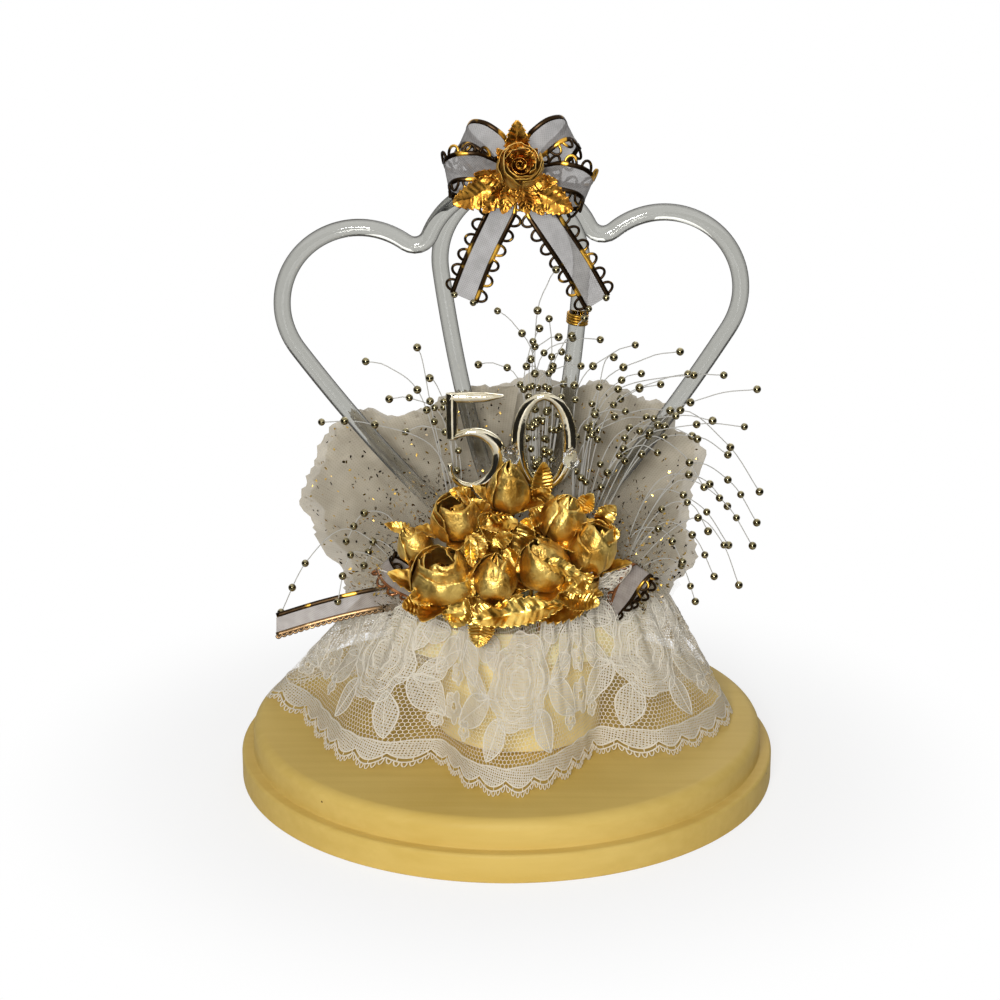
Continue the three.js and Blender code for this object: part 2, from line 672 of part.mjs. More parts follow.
// Roses: name, middle, axis, diameter, length, how open, where the stem enters the foam
const ROSES = [
  ['top', [-3.4, -28, 48.5], [0, -0.25, 1], 12.6, 16.5, 0.1, [-3, -22.5]],
  ['upper_left', [-20.9, -28, 39], [-0.15, -0.55, 0.83], 12.3, 13, 0.35, [-14, -19]],
  ['upper_right', [15, -28, 40.3], [0.35, -0.45, 0.8], 10.4, 11.5, 0.2, [10, -22.5]],
  ['left', [-24.3, -36, 22.3], [-0.25, -0.7, 0.67], 16, 14, 0.6, [-19, -22.5]],
  ['lower_middle', [-8.4, -38, 24], [0, -0.35, 0.94], 12.3, 15, 0.1, [-8, -26]],
  ['middle_right', [5.9, -37, 27.9], [-0.35, -0.5, 0.8], 13, 13.5, 0.1, [6, -26]],
  ['right', [21.5, -32, 30.8], [0.25, -0.3, 0.92], 11.4, 15, 0.2, [15.5, -22.5]],
  ['small', [20.7, -35, 19.2], [0.6, -0.5, 0.62], 6.4, 8, 0.2, [20, -19]],
];
for (const [name, middle, axis, width, length, open, entry] of ROSES) {
  const heading = vec(...axis).normalize();
  const foot = vec(...middle).addScaledVector(heading, -length / 2);
  place(bouquet, `rose_${name}`, aim(roseBud(width, length, open), foot, heading), GOLD_FOIL);
  const neckAt = foot.clone().addScaledVector(heading, -FIT);
  const path = stemPath(neckAt, heading.clone().negate(), length * STEM_SWEEP, entry);
  const calyxEnd = CALYX_LENGTH / path.getLength();
  const neck = Math.min(CALYX, width * CALYX_SHARE) / 2;
  const stations = [[0, neck], ...[calyxEnd, 0.45, 0.75, 1].map((share) => [share, STEM_WIRE / 2])];
  bore(...entry, STEM_WIRE / 2);
  place(bouquet, `stem_${name}`, taperedTube(path, stations, 6), GOLD_WIRE);
}

// Foil leaves on wires: name, base, tip, face, width, where the wire enters the foam
const LEAVES = [
  ['bud', [6, -23.5, 41], [7, -24, 56], [0.3, -1, 0.2], 6.5, [3, -22.5]],
  ['middle', [-6, -31, 33], [-14, -35, 40], [0.2, -0.8, 0.6], 9, [-8.5, -22.5]],
  ['long', [9, -37, 12], [-16, -41, 11], [0, -0.8, 0.6], 8, [1, -26]],
  ['drop', [-11, -43, 8], [-13, -46, -3], [0, -1, 0.3], 8, [-14, -25.5]],
  ['left', [-24, -35, 12], [-36, -38, 12], [0, -0.7, 0.7], 9, [-22, -19]],
  ['right', [13, -36, 15], [24, -41, 10], [0, -0.8, 0.6], 8, [11.5, -26]],
];
for (const [name, from, to, face, width, entry] of LEAVES) {
  const base = vec(...from);
  const tip = vec(...to);
  const heading = base.clone().sub(tip).normalize();
  const path = stemPath(base.clone().addScaledVector(heading, -1), heading, 6, entry);
  const wire = taperedTube(path, [0, 0.2, 0.45, 0.75, 1].map((share) => [share, LEAF_WIRE / 2]), 5);
  bore(...entry, LEAF_WIRE / 2);
  place(bouquet, `leaf_${name}`, joined(leafBlade(base, tip, vec(...face), width, 1.5), wire), GOLD_FOIL);
}

// Tulle: a pleated fan from a wired neck in the foam
function tulleTuft([x, y], from, to, sideReach, topReach, folds, lean) {
  const centre = vec(x, y, TULLE_NECK * 0.3);
  const surface = (u, v) => {
    const turn = mix(from, to, u) * RADIANS;
    const lift = ease(Math.sin(turn), 0.05, 0.75);
    const reach = mix(sideReach, topReach, lift) * (1 + 0.05 * Math.cos(2 * Math.PI * folds * u));
    const out = mix(TULLE_NECK, reach, v);
    const wave = TULLE_PLEAT_DEPTH * v * Math.sin(2 * Math.PI * folds * u);
    return vec(centre.x + out * Math.cos(turn), centre.y + lean * v + wave, centre.z + out * Math.sin(turn));
  };
  bore(x, y, TULLE_STEM / 2);
  const stem = post(x, y, -STEM_DEPTH, centre.z + TULLE_NECK * 1.4, TULLE_STEM / 2, 6);
  return joined(sheet(surface, folds * 5, 3, TULLE_THICK), stem);
}

// Tufts: name, neck, first and last angle, reach at the side and at the top, pleats, lean
const TUFTS = [
  ['tulle_left_front', [-12, -9], 88, 174, 42, 54, 4, 0],
  ['tulle_right_front', [11, -9], 6, 92, 38, 54, 4, 0],
  ['tulle_left_back', [-12, 9.5], 88, 174, 45, 72, 4, 8],
  ['tulle_right_back', [11, 9.5], 6, 92, 40, 71, 4, 8],
  ['tulle_top_back', [1, 16], 50, 130, 52, 66, 4, 16],
];
for (const [name, ...rest] of TUFTS) {
  place(bouquet, name, tulleTuft(...rest), TULLE_NET);
}

// Bead sprays: filaments with beads near their ends, from one wired stem
function spray(x, tips) {
  const root = vec(x, SPRAY_Y, STEM_TURN);
  const pieces = [post(x, SPRAY_Y, -STEM_DEPTH, STEM_TURN + 1, SPRAY_STEM / 2, 6)];
  for (const [tipX, tipZ] of tips) {
    const tip = vec(tipX, SPRAY_Y, tipZ);
    const bend = root.clone().lerp(tip, 0.5).add(vec(0, 0, 0.18 * Math.abs(tipX - x)));
    const curve = new THREE.QuadraticBezierCurve3(root, bend, tip);
    const half = BEAD / 2 / curve.getLength();
    const stations = [[0, FILAMENT / 2], [0.3, FILAMENT / 2]];
    for (const share of [0.62, 0.8, 1 - half]) {
      stations.push([share - half, FILAMENT / 2]);
      stations.push([share, BEAD / 2]);
      stations.push([Math.min(share + half, 1), FILAMENT / 2]);
    }
    pieces.push(taperedTube(curve, stations, 4, Y_AXIS));
  }
  bore(x, SPRAY_Y, SPRAY_STEM / 2);
  return joined(...pieces);
}

// Sprays: name, root, and the place of each filament's end across and up
const SPRAYS = [
  ['spray_left_low', -33, [[-77, 1], [-69, 14], [-57, 9], [-59, 30]]],
  ['spray_left_high', -19, [[-48, 86], [-62, 67], [-41, 73], [-55, 50], [-28, 82]]],
  ['spray_middle', 6, [[-7, 101], [8.6, 99], [11, 115], [25, 92]]],
  ['spray_right_high', 18, [[74, 77], [66, 54], [54, 82], [38, 81], [76, 43]]],
  ['spray_right_low', 31, [[70, 13], [67, 24], [57, 4], [76, 31]]],
];
for (const [name, x, tips] of SPRAYS) {
  place(bouquet, name, spray(x, tips), BEAD_METAL);
}

// Ribbons tucked in at the sides
const SIDE_LOOPS = [
  ['ribbon_loop_left', [-29, -18, 2], [-0.8, 0, 0.6]],
  ['ribbon_loop_right', [29, -18, 1.8], [0.7, 0, 0.7]],
];
for (const [name, start, out] of SIDE_LOOPS) {
  const loop = ribbonLoop(vec(...start), vec(...out).normalize(), vec(0, -1, 0), 20, 3, 2);
  place(bouquet, name, loop, SHEER_RIBBON);
}
const tailCurve = new THREE.QuadraticBezierCurve3(
  vec(-22, -24.5, 2.2),
  vec(-48, -29, 14),
  vec(-80, -20, -6.5),
);
const tailSide = vec(0, 0.35, 0.94).normalize();
place(bouquet, 'ribbon_tail_left', ribbon(tailCurve, () => tailSide, tailPinch), SHEER_RIBBON);

// Hem of the lace, anticlockwise: direction from the foam's middle in degrees, and reach
const HEM = [
  [-180, 70], [-160, 66], [-143, 68], [-124, 50], [-112, 51], [-92, 62], [-76, 47], [-58, 43], [-40, 52],
  [-22, 60], [4, 72], [22, 68], [40, 55], [58, 57], [76, 47], [94, 56], [112, 48], [130, 58], [148, 68],
  [166, 84],
];

// The hem's reach in a direction, on a smooth closed curve through its points
function hemReach(turn) {
  const after = HEM.findIndex(([angle]) => angle > turn);
  const next = after < 0 ? HEM.length : after;
  const at = (k) => HEM[(k + HEM.length) % HEM.length];
  const low = at(next - 1);
  const span = (at(next)[0] - low[0] + 360) % 360;
  const share = (turn - low[0]) / span;
  const [a, b, c, d] = [-2, -1, 0, 1].map((k) => at(next + k)[1]);
  const slopes = [(c - a) / 2, (d - b) / 2];
  const square = share ** 2;
  const cube = share ** 3;
  return b * (2 * cube - 3 * square + 1) + slopes[0] * (cube - 2 * square + share)
    + c * (3 * square - 2 * cube) + slopes[1] * (cube - square);
}

// Lace: a gathered ring from the foam's rim to the plaque, in deep folds
function laceSkirt() {
  const topX = FOAM_HALF_WIDTH + FIT + LACE_THICK / 2 + LACE_SLACK;
  const topY = FOAM_HALF_DEPTH + FIT + LACE_THICK / 2 + LACE_SLACK;
  const hem = BASE_HEIGHT + FIT + LACE_THICK / 2 - FOAM_TOP;
  const surface = (u, v) => {
    const turn = ((u + 1) % 1) * 360 - 180;
    const [across, along] = [Math.cos(turn * RADIANS), Math.sin(turn * RADIANS)];
    const top = 1 / Math.hypot(across / topX, along / topY);
    const out = mix(top, hemReach(turn), v ** LACE_FALL);
    return vec(out * across, out * along, mix(-LACE_TOP_DROP, hem, v));
  };
  return sheet(surface, LACE_COLUMNS, 5, LACE_THICK, true);
}

place(bouquet, 'lace_skirt', laceSkirt(), WHITE_LACE);

// Foam: an oval block with a bore for every stem
function foamBlock() {
  const oval = new THREE.Shape();
  oval.absellipse(0, 0, FOAM_HALF_WIDTH, FOAM_HALF_DEPTH, 0, 2 * Math.PI, false);
  const cut = { depth: FOAM_HEIGHT, bevelEnabled: false, curveSegments: 20 };
  const block = new THREE.ExtrudeGeometry(oval, cut);
  block.translate(0, 0, -FOAM_HEIGHT);
  return geometryOf(bores.reduce((body, hole) => body.subtract(hole), solid(block)));
}

place(bouquet, 'foam_block', foamBlock(), WHITE_FOAM);

const topper = new THREE.Group();
place(topper, 'base_plate', basePlate(), PAINTED_WOOD);
place(topper, 'pedestal', pedestal(), CREAM_PAINT);
topper.add(bouquet);

export default topper;
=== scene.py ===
"""Anniversary cake topper: two clear hearts, foil roses, lace and ribbon on a round wooden plaque.

Every piece is built in millimetres in the part's own frame: +Z up, the front towards -Y and the
origin under the middle of the plaque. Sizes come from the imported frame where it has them.
"""

import logging
import math
import random
from collections.abc import Callable, Iterable, Sequence
from dataclasses import dataclass, field
from enum import Enum
from functools import cache, partial

import bpy
import numpy as np
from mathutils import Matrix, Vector, noise


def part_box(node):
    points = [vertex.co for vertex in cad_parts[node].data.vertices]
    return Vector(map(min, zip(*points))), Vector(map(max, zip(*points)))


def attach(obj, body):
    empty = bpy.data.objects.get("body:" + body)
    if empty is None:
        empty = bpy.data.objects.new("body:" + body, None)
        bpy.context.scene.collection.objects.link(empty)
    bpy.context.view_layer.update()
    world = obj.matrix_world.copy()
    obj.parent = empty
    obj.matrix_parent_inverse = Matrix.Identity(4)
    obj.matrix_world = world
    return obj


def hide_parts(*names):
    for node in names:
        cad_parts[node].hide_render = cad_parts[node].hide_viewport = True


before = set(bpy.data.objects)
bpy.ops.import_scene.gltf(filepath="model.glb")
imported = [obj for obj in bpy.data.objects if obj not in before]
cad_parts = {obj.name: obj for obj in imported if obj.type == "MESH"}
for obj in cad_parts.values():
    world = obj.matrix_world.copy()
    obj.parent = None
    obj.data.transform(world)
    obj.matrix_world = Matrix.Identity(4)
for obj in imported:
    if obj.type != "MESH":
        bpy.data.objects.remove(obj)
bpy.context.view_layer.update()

MM = 0.001
UP = Vector((0, 0, 1))
FRONT = Vector((0, -1, 0))
log = logging.getLogger("topper")

Line = Sequence[Vector]
Pair = tuple[float, float]
Triple = tuple[float, float, float]
Socket = bpy.types.NodeSocket
Feed = bpy.types.Node | Socket | float | tuple[float, ...]
Adder = Callable[..., bpy.types.Node]


def srgb(code: str) -> tuple[float, float, float, float]:
    """Returns an sRGB colour, given as #rrggbb, in linear light with a full alpha."""
    parts = [int(code[i:i + 2], 16) / 255 for i in (1, 3, 5)]
    return (*(c / 12.92 if c <= 0.04045 else ((c + 0.055) / 1.055) ** 2.4 for c in parts), 1.0)


def add_node(
    tree: bpy.types.NodeTree, kind: str, feeds: dict[str | int, Feed] | None = None, **settings: object,
) -> bpy.types.Node:
    """Adds a shader node, sets it up and links what feeds it.

    Args:
        tree: The material's node tree.
        kind: The node's type without its ShaderNode prefix.
        feeds: For each input, a node's first output or a socket to link, or a value to hold.
        settings: Properties to set on the node.

    Returns:
        The new node.
    """
    node = tree.nodes.new("ShaderNode" + kind)
    for name, value in settings.items():
        setattr(node, name, value)
    for name, value in (feeds or {}).items():
        if isinstance(value, bpy.types.Node):
            value = value.outputs[0]
        if isinstance(value, Socket):
            tree.links.new(value, node.inputs[name])
        else:
            node.inputs[name].default_value = value
    return node


def add_object(name: str, data: bpy.types.ID) -> bpy.types.Object:
    """Adds an object to the scene.

    Args:
        name: Its name.
        data: Its mesh, lamp or camera.

    Returns:
        The new object.
    """
    made = bpy.data.objects.new(name, data)
    bpy.context.scene.collection.objects.link(made)
    return made


def mix(low: float, high: float, share: float) -> float:
    """Returns the value a share of the way from low to high."""
    return low + (high - low) * share


def ease(value: float, start: float, end: float) -> float:
    """Returns a smooth step from 0 at start to 1 at end."""
    share = min(max((value - start) / (end - start), 0.0), 1.0)
    return share * share * (3 - 2 * share)


def vec(x: float, y: float, z: float) -> Vector:
    """Returns a point or direction."""
    return Vector((x, y, z))


def polar(angle: float) -> Vector:
    """Returns the upright direction at an angle in degrees, from +X towards +Z."""
    return vec(math.cos(math.radians(angle)), 0, math.sin(math.radians(angle)))


def letter_sum(name: str) -> int:
    """Returns a number that is always the same for a name, to pick its crinkles by."""
    return sum(map(ord, name))


def spline(points: Line, count: int, steps: int = 16) -> list[Vector]:
    """Runs a smooth curve through points and steps along it evenly.

    Args:
        points: The points to pass through, in order.
        count: How many points to return.
        steps: Steps that the curve is measured with between two points.

    Returns:
        Points at equal distances along the curve.
    """
    ends = [points[0] * 2 - points[1], *points, points[-1] * 2 - points[-2]]
    fine = []
    for a, b, c, d in zip(ends, ends[1:], ends[2:], ends[3:]):
        for step in range(steps):
            t = step / steps
            fine.append(0.5 * (2 * b + (c - a) * t + (2 * a - 5 * b + 4 * c - d) * t ** 2
                               + (3 * b - a - 3 * c + d) * t ** 3))
    fine.append(points[-1])
    return even(fine, count)


def even(points: Line, count: int) -> list[Vector]:
    """Steps evenly along a line of points.

    Args:
        points: The line, in order.
        count: How many points to return.

    Returns:
        Points at equal distances along the line.
    """
    line = np.array([tuple(p) for p in points])
    run = np.concatenate([[0], np.cumsum(np.linalg.norm(np.diff(line, axis=0), axis=1))])
    stations = np.linspace(0, run[-1], count)
    return [Vector(p) for p in np.stack([np.interp(stations, run, line[:, k]) for k in range(3)], 1)]


def length_of(points: Line) -> float:
    """Returns the length of a line of points."""
    return sum((b - a).length for a, b in zip(points, points[1:]))


def headings(path: Line, loop: bool) -> list[Vector]:
    """Finds which way a path goes at each of its points.

    Args:
        path: The points, in order.
        loop: Whether the path closes on itself.

    Returns:
        At each point, the way from the point before it to the point after it.
    """
    count = len(path)
    ways = []
    for k, point in enumerate(path):
        ahead = path[(k + 1) % count] if loop or k + 1 < count else point
        behind = path[k - 1] if loop or k else point
        ways.append(ahead - behind)
    return ways


def circle(sides: int) -> list[Pair]:
    """Returns the corners of a regular outline of unit radius."""
    return [(math.cos(math.tau * i / sides), math.sin(math.tau * i / sides)) for i in range(sides)]


def arc(x: float, z: float, radius: float, start: float, end: float, steps: int) -> list[Pair]:
    """Returns steps round a circle about x and z, from one direction in degrees to another."""
    turns = [math.radians(mix(start, end, k / steps)) for k in range(steps + 1)]
    return [(x + radius * math.cos(t), z + radius * math.sin(t)) for t in turns]


class Shell:
    """Points and faces of one piece, in millimetres, gathered from grids, tubes and balls."""

    def __init__(self) -> None:
        """Starts with nothing."""
        self.points: list[Vector] = []
        self.flat: list[Pair] = []
        self.faces: list[tuple[int, ...]] = []
        self.coats: list[int] = []

    def add(
        self,
        points: Iterable[Sequence[float]],
        faces: Iterable[Sequence[int]],
        coat: int = 0,
        flat: Iterable[Pair] | None = None,
    ) -> None:
        """Takes in points and the faces over them.

        Args:
            points: Places in the part's frame.
            faces: Corners of each face, counted from the first of these points.
            coat: Which of the piece's finishes the faces have.
            flat: Where each point lies on the flat cloth, in millimetres.
        """
        start = len(self.points)
        self.points.extend(points)
        self.flat.extend(flat or [(0.0, 0.0)] * (len(self.points) - start))
        before = len(self.faces)
        self.faces.extend(tuple(start + corner for corner in face) for face in faces)
        self.coats.extend([coat] * (len(self.faces) - before))

    def grid(
        self,
        rows: Sequence[Line],
        coat: int = 0,
        ring: bool = False,
        loop: bool = False,
        capped: bool = False,
        flat: Sequence[Pair] | None = None,
    ) -> None:
        """Takes in a grid of four-sided faces.

        Args:
            rows: Equal rows of points.
            coat: Which finish the faces have.
            ring: Whether each row closes on itself.
            loop: Whether the last row joins the first.
            capped: Whether a face closes the first row and another the last.
            flat: Where each point lies on the flat cloth, row by row.
        """
        high, wide = len(rows), len(rows[0])
        faces = []
        for j in range(high if loop else high - 1):
            for i in range(wide if ring else wide - 1):
                right, below = (i + 1) % wide, (j + 1) % high
                faces.append((j * wide + i, j * wide + right, below * wide + right, below * wide + i))
        if capped:
            faces.append(tuple(range(wide - 1, -1, -1)))
            faces.append(tuple(range((high - 1) * wide, high * wide)))
        self.add([p for row in rows for p in row], faces, coat, flat)

    def sweep(
        self,
        path: Line,
        across: Line,
        section: Sequence[Pair],
        sizes: Sequence[Pair],
        coat: int = 0,
        loop: bool = False,
    ) -> None:
        """Carries a closed section along a path.

        Args:
            path: The section's middle at each step.
            across: The section's first direction at each step.
            section: The section's outline, from -1 to 1 both ways.
            sizes: Half the width and half the depth at each step.
            coat: Which finish the faces have.
            loop: Whether the path closes on itself.
        """
        rings = []
        for point, way, side, (wide, deep) in zip(path, headings(path, loop), across, sizes):
            along = way.normalized()
            first = (side - along * side.dot(along)).normalized()
            second = along.cross(first)
            rings.append([point + first * (a * wide) + second * (b * deep) for a, b in section])
        self.grid(rings, coat, ring=True, loop=loop, capped=not loop)

    def tube(self, path: Line, radius: float | Sequence[float], sides: int, coat: int = 0) -> None:
        """Takes in a round tube.

        Args:
            path: The tube's middle at each step.
            radius: The tube's radius, or one for each step.
            sides: How many sides it has.
            coat: Which finish the faces have.
        """
        radii = [radius] * len(path) if isinstance(radius, (int, float)) else radius
        normal = (path[1] - path[0]).normalized().orthogonal().normalized()
        across = []
        for way in headings(path, loop=False):
            along = way.normalized()
            normal = (normal - along * normal.dot(along)).normalized()
            across.append(normal)
        self.sweep(path, across, circle(sides), [(r, r) for r in radii], coat)

    def ball(self, centre: Vector, radius: float, coat: int, turns: int = 12, bands: int = 8) -> None:
        """Takes in a ball.

        Args:
            centre: Its middle.
            radius: Its radius.
            coat: Which finish the faces have.
            turns: Sides round it.
            bands: Bands from pole to pole.
        """
        rows = []
        for j in range(bands - 1, 0, -1):
            tilt = math.pi * j / bands
            rows.append([
                centre + radius * vec(math.sin(tilt) * a, math.sin(tilt) * b, math.cos(tilt))
                for a, b in circle(turns)
            ])
        self.grid(rows, coat, ring=True)
        fans = [(i, (i + 1) % turns, turns) for i in range(turns)]
        self.add([*rows[0], centre - UP * radius], [(b, a, c) for a, b, c in fans], coat)
        self.add([*rows[-1], centre + UP * radius], fans, coat)

    def piece(
        self,
        name: str,
        finishes: Sequence["Finish"],
        slot: str,
        nodes: Sequence[str] = (),
        thick: float = 0.0,
    ) -> bpy.types.Object:
        """Makes the gathered faces a piece that rides on the part.

        Args:
            name: The piece's name.
            finishes: Its finishes, in the order of its coats.
            slot: The record's material slot; not used.
            nodes: The solids that it stands for.
            thick: Thickness to give to a single layer of faces, in millimetres.

        Returns:
            The piece.
        """
        mesh = bpy.data.meshes.new(name)
        mesh.from_pydata([tuple(c * MM for c in p) for p in self.points], [], self.faces)
        mesh.polygons.foreach_set("material_index", self.coats)
        mesh.polygons.foreach_set("use_smooth", [True] * len(self.faces))
        corners = np.empty(len(mesh.loops), np.int32)
        mesh.loops.foreach_get("vertex_index", corners)
        layer = mesh.uv_layers.new(name="flat_cloth")
        layer.data.foreach_set("uv", (np.array(self.flat)[corners] * MM).ravel())
        for finish in finishes:
            mesh.materials.append(finish.material())
        made = add_object(name, mesh)
        if self.needs_welding():
            weld = made.modifiers.new("weld", "WELD")
            weld.merge_threshold = 1e-6
        if thick:
            solid = made.modifiers.new("thickness", "SOLIDIFY")
            solid.thickness = thick * MM
            solid.offset = 0
        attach(made, "root")
        if nodes:
            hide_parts(*nodes)
        log.info("%s: %d faces", name, len(self.faces))
        return made

    def needs_welding(self) -> bool:
        """Tells whether some points, such as those round the poles of balls, are there twice."""
        return len({tuple(round(c, 4) for c in p) for p in self.points}) < len(self.points)


def scale_of(size_mm: float) -> float:
    """Returns the scale that draws a pattern at a size in millimetres."""
    return 1 / (size_mm * MM)


@dataclass(frozen=True)
class Finish:
    """A finish: what the piece is made of and how its surface was made."""

    name: str

    def surface(self, add: Adder) -> Socket:
        """Adds the finish's nodes and returns the shader that they end in."""
        raise NotImplementedError

    def material(self) -> bpy.types.Material:
        """Makes the finish's material the first time that it is asked for.

        Returns:
            The material.
        """
        made = bpy.data.materials.get(self.name)
        if made is None:
            made = bpy.data.materials.new(self.name)
            made.use_nodes = True
            made.node_tree.nodes.clear()
            add = partial(add_node, made.node_tree)
            add("OutputMaterial", {"Surface": self.surface(add)})
        return made


@dataclass(frozen=True)
class BrushedEnamel(Finish):
    """Satin craft enamel brushed on turned pine: faint level streaks, soft gloss, a few dark specks."""

    light: str
    dark: str
    speck: str
    streak_long_mm: float = 60.0
    streak_wide_mm: float = 3.0
    cloud_mm: float = 35.0
    speck_gap_mm: float = 11.0
    speck_radius_mm: float = 0.385
    speck_share: float = 0.28
    pore_mm: float = 0.9

    def surface(self, add: Adder) -> Socket:
        """Adds the enamel's nodes.

        Args:
            add: Adds a node to the material.

        Returns:
            The shader that they end in.
        """
        place = add("TexCoord").outputs["Object"]
        long, wide = scale_of(self.streak_long_mm), scale_of(self.streak_wide_mm)
        laid = add("Mapping", {"Vector": place, "Scale": (long, wide, wide)})
        streak = add("TexNoise", {"Vector": laid, "Scale": 1.0, "Detail": 3.0})
        cloud = add("TexNoise", {"Vector": place, "Scale": scale_of(self.cloud_mm), "Detail": 2.0})
        blend = add("Math", {0: streak, 1: 0.7, 2: cloud}, operation="MULTIPLY_ADD")
        share = add("MapRange", {"Value": blend, "From Min": 0.6, "From Max": 1.1})
        colour = add("Mix", {0: share, 6: srgb(self.dark), 7: srgb(self.light)}, data_type="RGBA").outputs[2]
        # The grain's specks: one dot in each cell, kept in some of the cells.
        cells = add("TexVoronoi", {"Vector": place, "Scale": scale_of(self.speck_gap_mm)})
        reach = self.speck_radius_mm / self.speck_gap_mm
        near = add("Math", {0: cells.outputs["Distance"], 1: reach}, operation="LESS_THAN")
        pick = add("SeparateXYZ", {0: cells.outputs["Color"]})
        some = add("Math", {0: pick, 1: 1 - self.speck_share}, operation="GREATER_THAN")
        speck = add("Math", {0: near, 1: some}, operation="MULTIPLY")
        spotted = add("Mix", {0: speck, 6: colour, 7: srgb(self.speck)}, data_type="RGBA").outputs[2]
        pores = add("TexNoise", {"Vector": place, "Scale": scale_of(self.pore_mm), "Detail": 4.0})
        relief = add("Math", {0: streak, 1: 1.5, 2: pores}, operation="MULTIPLY_ADD")
        bump = add("Bump", {"Strength": 0.12, "Distance": 0.4 * MM, "Height": relief})
        gloss = add("MapRange", {"Value": cloud, "To Min": 0.45, "To Max": 0.6})
        return add("BsdfPrincipled", {
            "Base Color": spotted, "Roughness": gloss, "Normal": bump, "Specular IOR Level": 0.12,
        }).outputs[0]


@dataclass(frozen=True)
class FoamBlock(Finish):
    """Cut polystyrene brushed with the drum's cream: packed beads that show as shallow round cells, with
    painted shade darkening the grooves between them.
    """

    colour: str
    groove_shade: str
    bead_mm: float = 2.6

    def surface(self, add: Adder) -> Socket:
        """Adds the foam's nodes.

        Args:
            add: Adds a node to the material.

        Returns:
            The shader that they end in.
        """
        place = add("TexCoord").outputs["Object"]
        cells = add("TexVoronoi", {"Vector": place, "Scale": scale_of(self.bead_mm)}).outputs["Distance"]
        # Painted shade: the colour darkens towards the cells' edges, in the grooves between the beads.
        tone = add("MapRange", {"Value": cells, "To Min": 0.0, "To Max": 0.5})
        blend = add("Mix", {0: tone, 6: srgb(self.colour), 7: srgb(self.groove_shade)}, data_type="RGBA")
        bump = add("Bump", {"Strength": 0.5, "Distance": 0.6 * MM, "Height": cells}, invert=True)
        return add("BsdfPrincipled", {
            "Base Color": blend.outputs[2], "Roughness": 0.85, "Normal": bump,
            "Subsurface Weight": 0.15, "Subsurface Scale": 3 * MM,
        }).outputs[0]


@dataclass(frozen=True)
class ClearAcrylic(Finish):
    """Moulded, polished acrylic: clear, a little grey, with painted shade along its edges where a grey
    diffuse coat takes over at grazing angles, and faint flow lines.
    """

    colour: str
    rough: float = 0.03
    flow_mm: float = 14.0
    body: float = 1.0
    # The edge colour and its share give the painted shade along grazing edges.
    edge: str = "#605f5b"
    edge_shade_share: float = 0.0

    def surface(self, add: Adder) -> Socket:
        """Adds the acrylic's nodes.

        Args:
            add: Adds a node to the material.

        Returns:
            The shader that they end in.
        """
        place = add("TexCoord").outputs["Object"]
        flow = add("TexNoise", {"Vector": place, "Scale": scale_of(self.flow_mm), "Detail": 2.0})
        bump = add("Bump", {"Strength": 0.1, "Distance": 0.5 * MM, "Height": flow})
        gloss = add("MapRange", {"Value": flow, "To Min": self.rough * 0.5, "To Max": self.rough * 2})
        clear = add("BsdfPrincipled", {
            "Base Color": srgb(self.colour), "Roughness": gloss, "Normal": bump,
            "IOR": 1.49, "Transmission Weight": 1.0, "Alpha": self.body,
        })
        # Painted shade: towards grazing angles a grey diffuse coat takes over and darkens the edges.
        facing = add("LayerWeight", {"Blend": 0.5}).outputs["Facing"]
        share = add("MapRange", {
            "Value": facing, "From Min": 0.2, "From Max": 0.72, "To Max": self.edge_shade_share,
        })
        edge_shade = add("BsdfDiffuse", {"Color": srgb(self.edge)})
        return add("MixShader", {0: share, 1: clear, 2: edge_shade}).outputs[0]


@dataclass(frozen=True)
class TwoTone(Finish):
    """A finish whose colour wanders between two tones."""

    light: str
    dark: str

    def mottled(self, add: Adder, size_mm: float, detail: float, span: Pair) -> tuple[bpy.types.Node, Socket]:
        """Mottles the two tones.

        Args:
            add: Adds a node to the material.
            size_mm: The patches' size.
            detail: How ragged the patches are.
            span: Where in the pattern the dark tone ends and the light one starts.

        Returns:
            The pattern and the colour.
        """
        place = add("TexCoord").outputs["Object"]
        pattern = add("TexNoise", {"Vector": place, "Scale": scale_of(size_mm), "Detail": detail})
        share = add("MapRange", {"Value": pattern, "From Min": span[0], "From Max": span[1]})
        colour = add("Mix", {0: share, 6: srgb(self.dark), 7: srgb(self.light)}, data_type="RGBA")
        return pattern, colour.outputs[2]


@dataclass(frozen=True)
class Foil(TwoTone):
    """Metallised paper foil, pressed and crinkled by hand: satin metal with sharp bright creases."""

    crease_mm: float = 2.2
    grain_mm: float = 0.7
    rough: float = 0.3
    relief: float = 0.45

    def surface(self, add: Adder) -> Socket:
        """Adds the foil's nodes.

        Args:
            add: Adds a node to the material.

        Returns:
            The shader that they end in.
        """
        warp, colour = self.mottled(add, 2 * self.crease_mm, 3.0, (0.35, 0.62))
        place = add("TexCoord").outputs["Object"]
        crease = add("TexVoronoi", {
            "Vector": place, "Scale": scale_of(self.crease_mm),
        }, feature="DISTANCE_TO_EDGE")
        grain = add("TexNoise", {"Vector": place, "Scale": scale_of(self.grain_mm), "Detail": 5.0})
        folds = add("Math", {0: crease, 1: 0.8, 2: warp}, operation="MULTIPLY_ADD")
        height = add("Math", {0: grain, 1: 0.45, 2: folds}, operation="MULTIPLY_ADD")
        bump = add("Bump", {"Strength": self.relief, "Distance": 0.8 * MM, "Height": height})
        gloss = add("MapRange", {"Value": grain, "To Min": self.rough * 0.6, "To Max": self.rough * 1.5})
        return add("BsdfPrincipled", {
            "Base Color": colour, "Metallic": 1.0, "Roughness": gloss, "Normal": bump,
        }).outputs[0]


